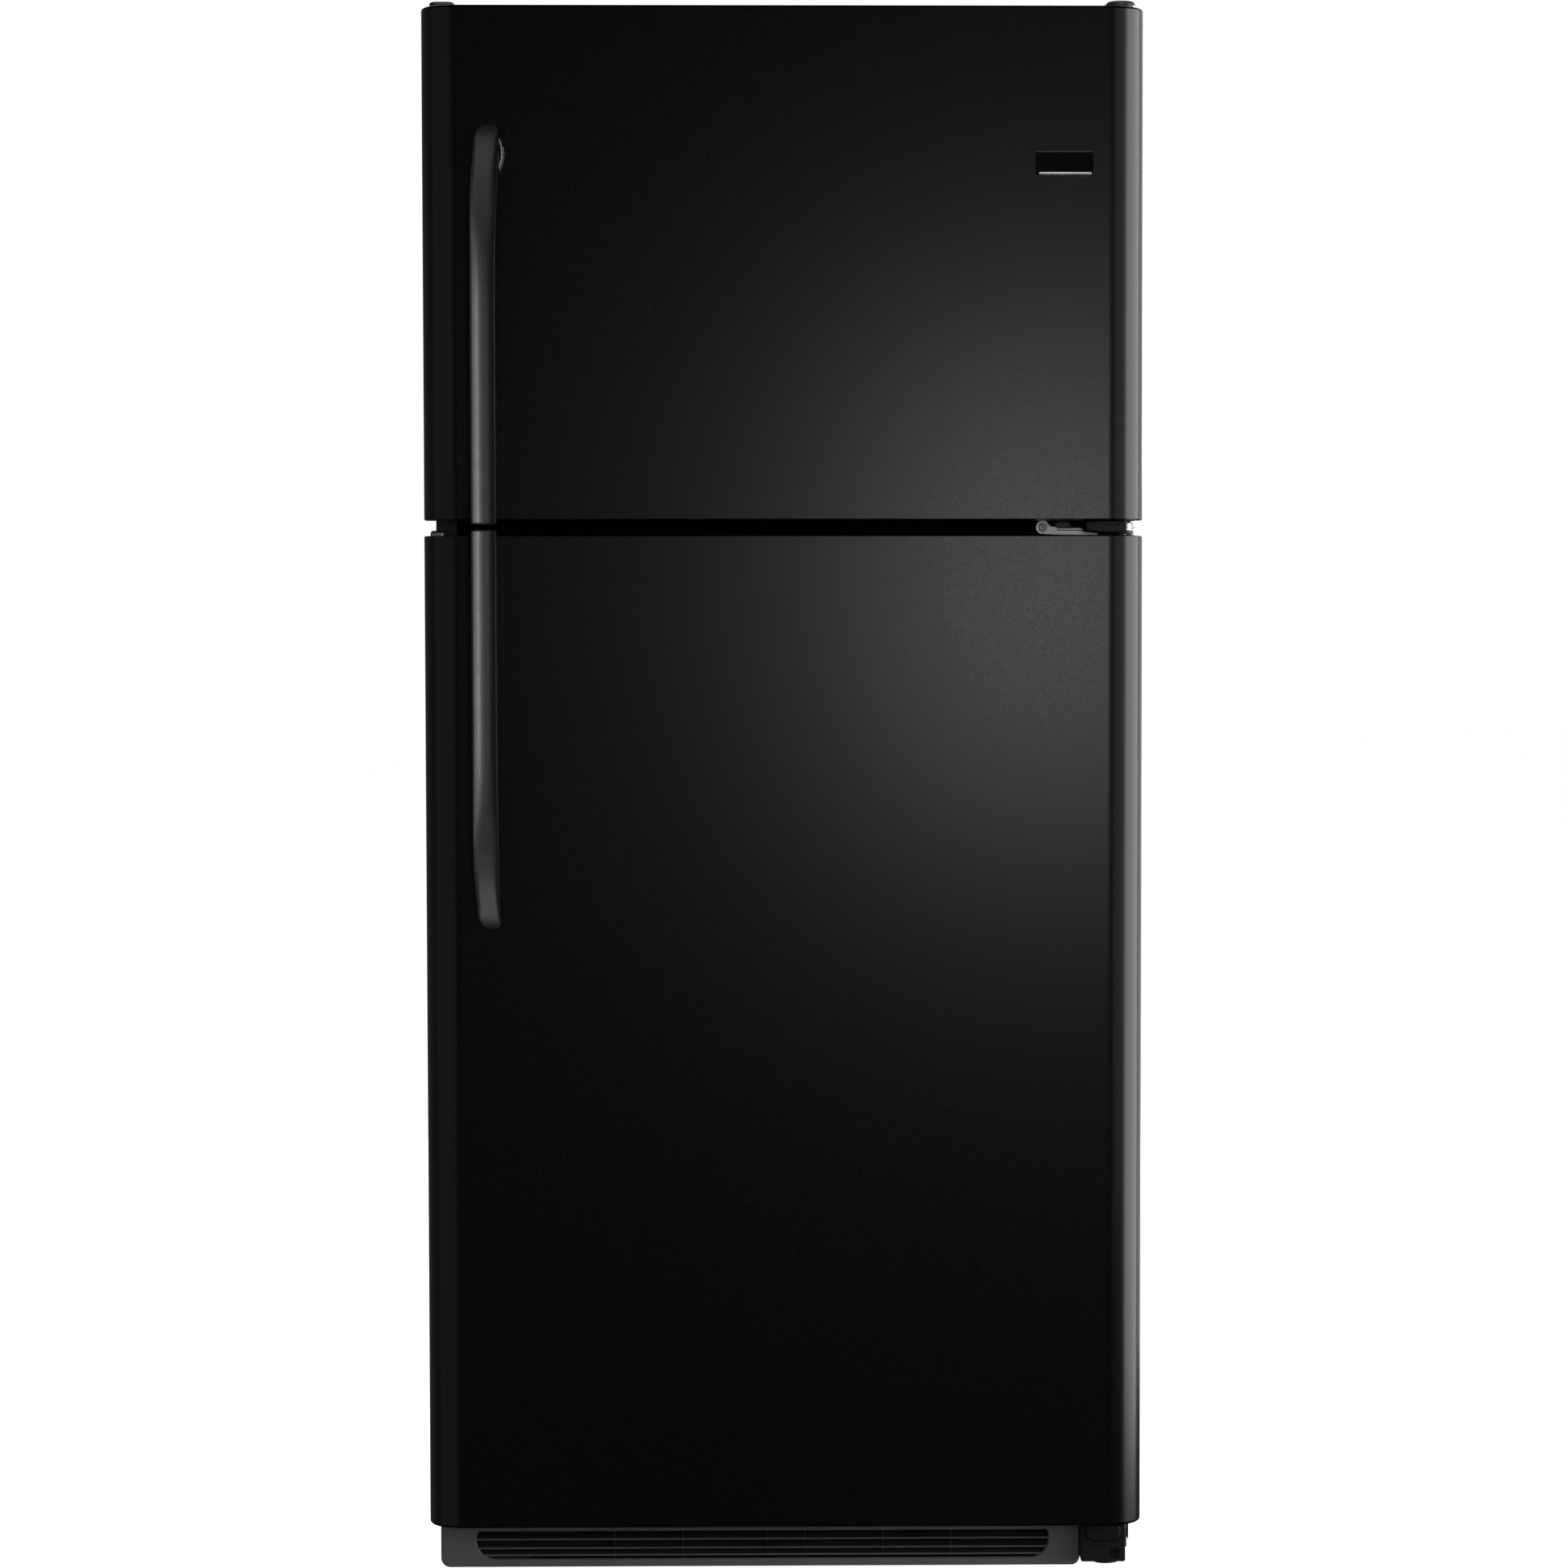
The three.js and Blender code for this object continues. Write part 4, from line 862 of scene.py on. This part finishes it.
def bottom_hinge_cover():
    """Cover beside the kick plate, with a rounded nose under the hinge pin and a recess for its screw."""
    (left, right), (front, back), (low, high) = spans("bottom_hinge_cover")
    left, right = left - 0.0030, 0.3648
    levels = [(0.0014, front + 0.0022), (0.0004, front + 0.0028), (0, front + 0.0042), (0, back - 0.0003)]
    cover = loft("bottom_hinge_shroud", front_rings(levels, (left, right, low, high), 0.0022))
    room = rounded(left + 0.0015, right - 0.0015, low - 0.01, high - 0.0015, 0.001)
    inside = prism("inside", room, front + 0.0038, back + 0.01, axis=1)
    levels = [(0.0018, front), (0.0006, front + 0.0005), (0, front + 0.0014), (0, front + 0.0036)]
    edges = (0.3212, 0.3590, 0.0397, high - 0.001)
    nose = front_rings(levels, edges, [0.002, 0.002, 0.0095, 0.0095], 8)
    outline = rounded(0.346, 0.360, 0.019, 0.033, 0.002)
    boss = prism("boss", outline, front + 0.003, front + 0.014, axis=1)
    carve(cover, inside)
    carve(cover, loft("nose", nose), boss, operation="UNION")
    slot = rectangle(HINGE_X - 0.0078, HINGE_X + 0.0078, HINGE_Y - 0.0078, back + 0.01)
    pin = prism("slot", slot, high - 0.005, high + 0.01)
    outline = rounded(0.3475, 0.3585, 0.0205, 0.0315, 0.003)
    screw = prism("well", outline, front - 0.01, front + 0.008, axis=1)
    carve(cover, pin, screw)
    show(cover, "cabinet", "black_plastic", replaces=["bottom_hinge_cover"])


def hinge_plugs():
    """Caps over the unused hinge bores on the handle side."""
    for name, body, z, x, rise in (
        ("freezer_door_top_plug", FREEZER, DOOR_HIGH[FREEZER], (-0.3722, -0.3458), 0.0072),
        ("fridge_door_top_plug", FRIDGE, DOOR_HIGH[FRIDGE], (-0.3745, -0.3600), 0.0060),
    ):
        size = (x[1] - x[0]) / 2
        y = (HINGE_Y - size, HINGE_Y + size)
        edge = min(0.003, rise / 2)
        rings = []
        for i in range(5):
            t = pi / 2 * i / 4
            inset = edge * (1 - cos(t))
            edges = (x[0] + inset, x[1] - inset, y[0] + inset, y[1] - inset)
            shape = rounded(*edges, size * 0.55 - inset * 0.4)
            rings.append([(px, py, z + rise - edge + edge * sin(t)) for px, py in shape])
        base = [(px, py, z + 0.0001) for px, py, _ in rings[0]]
        middle = sum(x) / 2
        stem = [(middle + (px - middle) * 0.3, HINGE_Y + (py - HINGE_Y) * 0.3, pz) for px, py, pz in base]
        root = [(px, py, z - 0.012) for px, py, _ in stem]
        plug = loft(name, [root, stem, base, *rings])
        show(plug, body, "black_plastic" if body == FREEZER else "zinc_steel")


# ---- seals, bins and drawers
def seal(door):
    """Magnetic seal: a folded bellows round the door's inner side, mitred at the corners. Black rubber, in the
    painted shade black that darkens the gap between the doors.
    """
    node = door + "_gasket"
    (left, right), (back, front), (low, high) = spans(node)
    deep = front - back
    profile = [(-0.0045, 0), (-0.0025, 0.16), (-0.0045, 0.32), (0, 0.48)]
    profile += [(0, 0.92), (-0.0006, 1), (-0.0126, 1)]
    profile += [(-0.0132, 0.92), (-0.0132, 0.48), (-0.0087, 0.32), (-0.0107, 0.16), (-0.0087, 0)]
    rings = []
    corners = ((left, low, -1, -1), (right, low, 1, -1), (right, high, 1, 1), (left, high, -1, 1))
    for x, z, across, up in corners:
        rings.append([(x + across * u, back + deep * v, z + up * u) for u, v in profile])
    made = loft(door + "_seal", rings, closed=True)
    show(made, door, "gasket_rubber", SHADOW_BLACK, replaces=[node], angle=25)


def tub(name, x, y, z, radii, wall, draft=0.003):
    """Moulded tub: rounded corners, sides that lean outwards, a thicker rim and a rounded floor."""
    fillet = 0.004
    levels = [(draft + fillet, z[0]), (draft + fillet * 0.3, z[0] + fillet * 0.3), (draft, z[0] + fillet)]
    levels += [(0.0009, z[1] - 0.0075), (0, z[1] - 0.0066), (0, z[1] - 0.0008), (0.0006, z[1])]
    levels += [(wall + 0.0003, z[1]), (wall + 0.0009, z[1] - 0.0008)]
    levels += [(draft + wall, z[0] + wall + fillet), (draft + wall + fillet, z[0] + wall)]
    rings = []
    for inset, height in levels:
        corners = [max(r - inset, 0.0015) for r in radii]
        outline = rounded(x[0] + inset, x[1] - inset, y[0] + inset, y[1] - inset, corners, 7)
        rings.append([(u, v, height) for u, v in outline])
    return loft(name, rings)


def door_bins():
    """The doors' racks and bins, with a groove pressed along each front."""
    for node, body, wall in (
        ("freezer_rack_lower", FREEZER, 0.003),
        ("freezer_rack_upper", FREEZER, 0.003),
        ("bin_lower", FRIDGE, 0.0025),
        ("bin_upper", FRIDGE, 0.0025),
    ):
        x, y, z = spans(node)
        made = tub(node + "_tub", x, y, z, [0.022, 0.022, 0.006, 0.006], wall)
        middle = (z[0] + z[1]) / 2
        line = rounded(x[0] + 0.04, x[1] - 0.04, middle - 0.003, middle + 0.003, 0.0029)
        carve(made, prism("groove", line, y[1] - 0.0022, y[1] + 0.01, axis=1))
        show(made, body, "clear_plastic", replaces=[node], angle=40)


def crisper(side):
    """Deep drawer with a rolled finger pull along its front."""
    node = "crisper_" + side
    x, y, z = spans(node)
    made = tub(node + "_tub", x, (y[0] + 0.024, y[1]), z, [0.014, 0.014, 0.018, 0.018], 0.0025, 0.004)
    top = z[1] - 0.019
    pull = [(0.0265, top - 0.003), (0.0025, top - 0.003), (0.0025, top - 0.0165)]
    pull += [(0.0012, top - 0.017), (0, top - 0.016)]
    pull += [(0, top - 0.0035), (0.0008, top - 0.0012), (0.003, top), (0.0265, top)]
    bar = prism("pull", [(y[0] + u, v) for u, v in pull], x[0] + 0.010, x[1] - 0.010, axis=0)
    carve(made, beveled(bar, 0.0005), operation="UNION")
    show(made, node, "clear_plastic", replaces=[node], angle=40)


def deli_drawer():
    """Shallow drawer that hangs on its side flanges, with a thick front."""
    x, y, z = spans("deli_drawer")
    inner = (x[0] + 0.011, x[1] - 0.011)
    top = z[1] - 0.004
    radii = [0.012, 0.012, 0.008, 0.008]
    made = tub("deli_drawer_tub", inner, (y[0] + 0.008, y[1]), (z[0], top), radii, 0.0025)
    wings = [(x[0], inner[0] + 0.001), (inner[1] - 0.001, x[1])]
    reach, level = (y[0] + 0.014, y[1] - 0.002), (top - 0.005, top - 0.0025)
    parts = [block("wing", wing, reach, level, 0.0008) for wing in wings]
    plate = rounded(x[0] + 0.005, x[1] - 0.005, z[1] - 0.018, z[1], 0.005)
    parts.append(beveled(prism("front", plate, y[0], y[0] + 0.009, axis=1), 0.002, 3))
    carve(made, *parts, operation="UNION")
    show(made, "deli_drawer", "clear_plastic", replaces=["deli_drawer"], angle=40)


DIAL_BACK = -0.150  # where the dials' backs lie, just in front of the control housing
DIAL_SIDES = 96


def knob(body):
    """Dial with a ribbed edge, a raised grip and a pointer groove."""
    (left, right), (low, high) = span(body, 0), span(body, 2)
    place = ((left + right) / 2, DIAL_BACK, (low + high) / 2)
    radius = (right - left) / 2
    rings = []
    profile = [(0, 0.012), (0.004, 0.012), (0.004, -0.0003), (radius - 0.001, -0.0003), (radius, -0.0012)]
    profile += [(radius, -0.0055), (radius - 0.002, -0.0078), (0, -0.008)]
    for r, y in profile:
        if r == 0:
            rings.append([(place[0], place[1] + y, place[2])])
            continue
        ribs = 0.0005 if r == radius else 0
        turns = [2 * pi * i / DIAL_SIDES for i in range(DIAL_SIDES)]
        edge = [(r - ribs * (i % 4 in (0, 1)), t) for i, t in enumerate(turns)]
        rings.append([(place[0] + q * cos(t), place[1] + y, place[2] + q * sin(t)) for q, t in edge])
    dial = loft(body.replace("_knob", "_dial"), rings)
    grip = rounded(place[0] - 0.0035, place[0] + 0.0035, place[2] - 0.016, place[2] + 0.016, 0.0034)
    raised = beveled(prism("grip", grip, place[1] - 0.019, place[1] - 0.007, axis=1), 0.001, 3)
    carve(dial, raised, operation="UNION")
    mark = rounded(place[0] - 0.0006, place[0] + 0.0006, place[2] + 0.004, place[2] + 0.0145, 0.0005)
    carve(dial, prism("mark", mark, place[1] - 0.03, place[1] - 0.0183, axis=1))
    show(dial, body, "liner_plastic", replaces=[body], angle=35)


# ---- the back
BACK_RELIEF = 0.0008  # room that the sheet leaves for its frames and screw heads


def back_sheet():
    """Zinc-coated sheet with two pressed frames."""
    (left, right), (inner, outer), (low, high) = spans("back_panel")
    skin = outer - BACK_RELIEF
    inner -= 0.0001
    sheet = prism("back_sheet", rectangle(left, right, low, high), inner, skin, axis=1)
    parts = []
    for z0, z1 in ((low + 0.07, 1.08), (1.14, high - 0.07)):
        rim = rounded(left + 0.07, right - 0.07, z0, z1, 0.04, 8)
        ring = prism("rib", rim, skin - 0.0001, skin + 0.0006, axis=1)
        beveled(ring, 0.0005, 2)
        room = rounded(left + 0.088, right - 0.088, z0 + 0.018, z1 - 0.018, 0.025, 8)
        carve(ring, prism("inside", room, inner, outer + 0.01, axis=1))
        parts.append(ring)
    carve(sheet, *parts, operation="UNION")
    show(sheet, "cabinet", "zinc_steel", replaces=["back_panel"])


def back_screws():
    """Domed heads round the sheet's edge."""
    (left, right), (_, outer), (low, high) = spans("back_panel")
    skin = outer - BACK_RELIEF
    rows = [low + 0.012 + (high - low - 0.024) * i / 9 for i in range(10)]
    places = [(x, z) for x in (left + 0.012, right - 0.012) for z in rows]
    places += [(left + (right - left) * i / 5, z) for i in range(1, 5) for z in (rows[0], rows[-1])]
    head = [(0, 0), (0.0046, 0), (0.0046, 0.0001), (0.0038, 0.0005), (0.0024, 0.00068), (0, 0.00072)]
    heads = [turned("head", head, (x, skin, z), axis="Y", sides=20) for x, z in places]
    show(gather("back_sheet_screws", heads), "cabinet", "zinc_steel", FINISHES["hinge_steel"])


# ---- camera, light and floor
def camera():
    """Straight in front and a little to the right, above the middle, as the photograph was taken."""
    data = bpy.data.cameras.new("camera")
    data.lens = 101.91
    data.sensor_width = 36
    data.shift_x = -0.0555
    data.shift_y = 0.0516
    made = bpy.data.objects.new("camera", data)
    made.location = (0.0142, -5.036, 1.0214)
    made.rotation_euler = (radians(90 - 3.090), radians(0.05), radians(-0.951))
    scene.collection.objects.link(made)
    scene.camera = made


INSIDE = ["fresh_food_liner", "freezer_liner", "freezer_door_liner", "fridge_door_liner"]
INSIDE += ["dairy_box", "dairy_flap"]
INSIDE += ["freezer_shelf", "evaporator_cover", "control_housing", "light_switch"]
for shelf in ("shelf_upper", "shelf_lower", "crisper_cover"):
    INSIDE += [shelf + "_frame", shelf + "_glass"]
TUBS = ["freezer_rack_lower", "freezer_rack_upper", "bin_lower", "bin_upper"]
TUBS += ["crisper_left", "crisper_right", "deli_drawer"]
DIALS = ["fresh_food_dial", "freezer_dial"]


LEFT_COLUMN = (-0.36, -0.32, 1.0)  # the doors' rounded sides, at mid height
RIGHT_COLUMN = (0.36, -0.32, 1.0)
HANDLES = (-0.31, -0.39, 1.1)


def lamp(name, place, target, size, radiance, only=(), without=(), alone=False):
    """A rectangular lamp of one brightness, facing a target.

    It lights everything, or only some objects, or all without some. Alone, nothing else
    casts a shadow in its light.
    """
    data = bpy.data.lights.new(name, "AREA")
    data.shape = "RECTANGLE"
    data.size, data.size_y = size
    data.energy = radiance * size[0] * size[1] * pi
    made = bpy.data.objects.new(name, data)
    made.location = place
    made.rotation_euler = (Vector(target) - Vector(place)).to_track_quat("-Z", "Y").to_euler()
    made.visible_camera = False
    scene.collection.objects.link(made)
    if not only and not without:
        return
    group = bpy.data.collections.new(name + "_objects")
    for obj in only or without:
        group.objects.link(obj)
    made.light_linking.receiver_collection = group
    if alone:
        made.light_linking.blocker_collection = group
    if without:
        for item in group.collection_objects:
            item.light_linking.link_state = "EXCLUDE"


def lamps():
    """Lamps for the surfaces that they are meant for, so that the rest stays dark."""
    bars = [bpy.data.objects[name] for name in ("freezer_handle_bar", "fridge_handle_bar")]
    panels = [bpy.data.objects[door + "_panel"] for door in DOORS]
    cabinet = [NODES["cabinet_shell"], NODES["rear_access_cover"], NODES["base_frame"]]
    inside = [NODES[name] for name in INSIDE]
    inside += [bpy.data.objects[name + "_tub"] for name in TUBS]
    inside += [bpy.data.objects[name] for name in DIALS]
    lamp("front_lamp", (0.57, -5.0, 1.12), (0.3, DOOR_FRONT, 1.05), (0.6, 0.8), 4.6)
    lamp("top_front_lamp", (0.2, -3.2, 4.2), (0, 0, 0.8), (2.2, 1.6), 5, without=bars + panels)
    lamp("right_lamp", (2.6, -0.3, 1.1), (0, -0.3, 1.0), (2.6, 2.8), 3.6, without=bars + cabinet)
    behind = (2.2, 2.2, 1.1)
    lamp("right_back_lamp", behind, (0.38, -0.3, 1.0), (2.2, 2.8), 0.8, without=bars + cabinet)
    for name, place, size, radiance in (
        ("handle_front_lamp", (-2.5, -4.6, 1.1), (1.9, 1.5), 12),
        ("handle_side_lamp", (-3.6, -2.2, 1.1), (2.4, 1.8), 3.5),
        ("handle_low_lamp", (-0.7, -2.0, -1.7), (2.2, 1.8), 1.9),
        ("handle_high_lamp", (-1.0, -2.2, 3.9), (2.4, 2.2), 0.9),
    ):
        lamp(name, place, HANDLES, size, radiance, only=bars, alone=True)
    lamp("left_lamp", (-3.4, -2.9, 1.2), LEFT_COLUMN, (5.6, 2.8), 0.18)
    for name, place, height, size, radiance in (
        ("left_low_lamp", (-3.4, -2.9, -1.0), -1.0, (5.0, 1.6), 0.14),
        ("left_back_lamp", (-3.2, 1.4, 0.8), 0.8, (5.2, 4.0), 0.055),
    ):
        lamp(name, place, (*LEFT_COLUMN[:2], height), size, radiance, only=panels, alone=True)
    lamp("right_front_lamp", (2.9, -2.9, 1.2), RIGHT_COLUMN, (3.2, 2.6), 0.45, without=bars)
    lamp("back_lamp", (0.4, 3.6, 2.4), (0, 0.4, 0.9), (3, 2.4), 2.5)
    for side, x in (("left", -3.4), ("right", 3.4)):
        lamp(side + "_flank_lamp", (x, 0.4, 1.5), (0, 0.4, 0.9), (8.0, 3.2), 0.75, only=cabinet)
    lamp("inside_lamp", (-0.9, -3.4, 1.9), (0, 0, 1.0), (2.4, 2.2), 3.8, only=inside)
    lamp("top_lamp", (0, 0.6, 4.4), (0, 0.2, 0), (3, 3), 1.2, without=bars + panels)


SOFT_SKY = 0.022  # strength of the world where the camera doesn't see it
PAPER_GLOW = 0.975  # makes up for the light that the paper misses, up to white
PAPER_REACH = 40


def backdrop():
    """White all round for the camera and nearly dark for the rest, and white paper on the floor."""
    world = bpy.data.worlds.new("studio")
    scene.world = world
    world.use_nodes = True
    tree = world.node_tree
    tree.nodes.clear()
    white = put(tree, "Background", {"Color": (1, 1, 1, 1), "Strength": 1.0})
    dim = put(tree, "Background", {"Color": (1, 1, 1, 1), "Strength": SOFT_SKY})
    mix = put(tree, "MixShader")
    seen = put(tree, "LightPath")
    output = put(tree, "OutputWorld")
    tree.links.new(seen.outputs["Is Camera Ray"], mix.inputs[0])
    tree.links.new(dim.outputs[0], mix.inputs[1])
    tree.links.new(white.outputs[0], mix.inputs[2])
    tree.links.new(mix.outputs[0], output.inputs[0])
    scene.view_settings.view_transform = "Standard"

    sheet = rectangle(-PAPER_REACH, PAPER_REACH, -PAPER_REACH, PAPER_REACH)
    floor = prism("floor", sheet, -0.02, -0.0005)
    paper = bpy.data.materials.new("floor_paper")
    paper.use_nodes = True
    tree = paper.node_tree
    surface = tree.nodes["Principled BSDF"]
    surface.inputs["Roughness"].default_value = 0.9
    surface.inputs["Specular IOR Level"].default_value = 0.0
    coords = put(tree, "TexCoord").outputs["Object"]
    tone = ramp(tree, noise(tree, coords, 30, 3), *CLOUD_SPREAD, 0, 1)
    white = blend_colors(tree, tone, (0.88, 0.88, 0.88), (0.9, 0.9, 0.9))
    tree.links.new(white, surface.inputs["Base Color"])
    surface.inputs["Emission Color"].default_value = (1, 1, 1, 1)
    surface.inputs["Emission Strength"].default_value = PAPER_GLOW
    floor.data.materials.append(paper)
    floor.visible_glossy = False
    floor.visible_diffuse = False


# ---- the whole
camera()
dress_nodes()
for door in DOORS:
    door_panel(door)
for door in DOORS:
    handle(door)
badge()
center_bracket()
center_arm()
center_lug()
center_screw()
center_block()
center_washers()
door_bushings()
top_hinge_cover()
hinge_plugs()
toe_grille()
grille_louvres()
grille_baffle()
bottom_hinge_cover()
for door in DOORS:
    seal(door)
door_bins()
for side in ("left", "right"):
    crisper(side)
deli_drawer()
for body in ("fresh_food_knob", "freezer_knob"):
    knob(body)
back_sheet()
back_screws()
lamps()
backdrop()
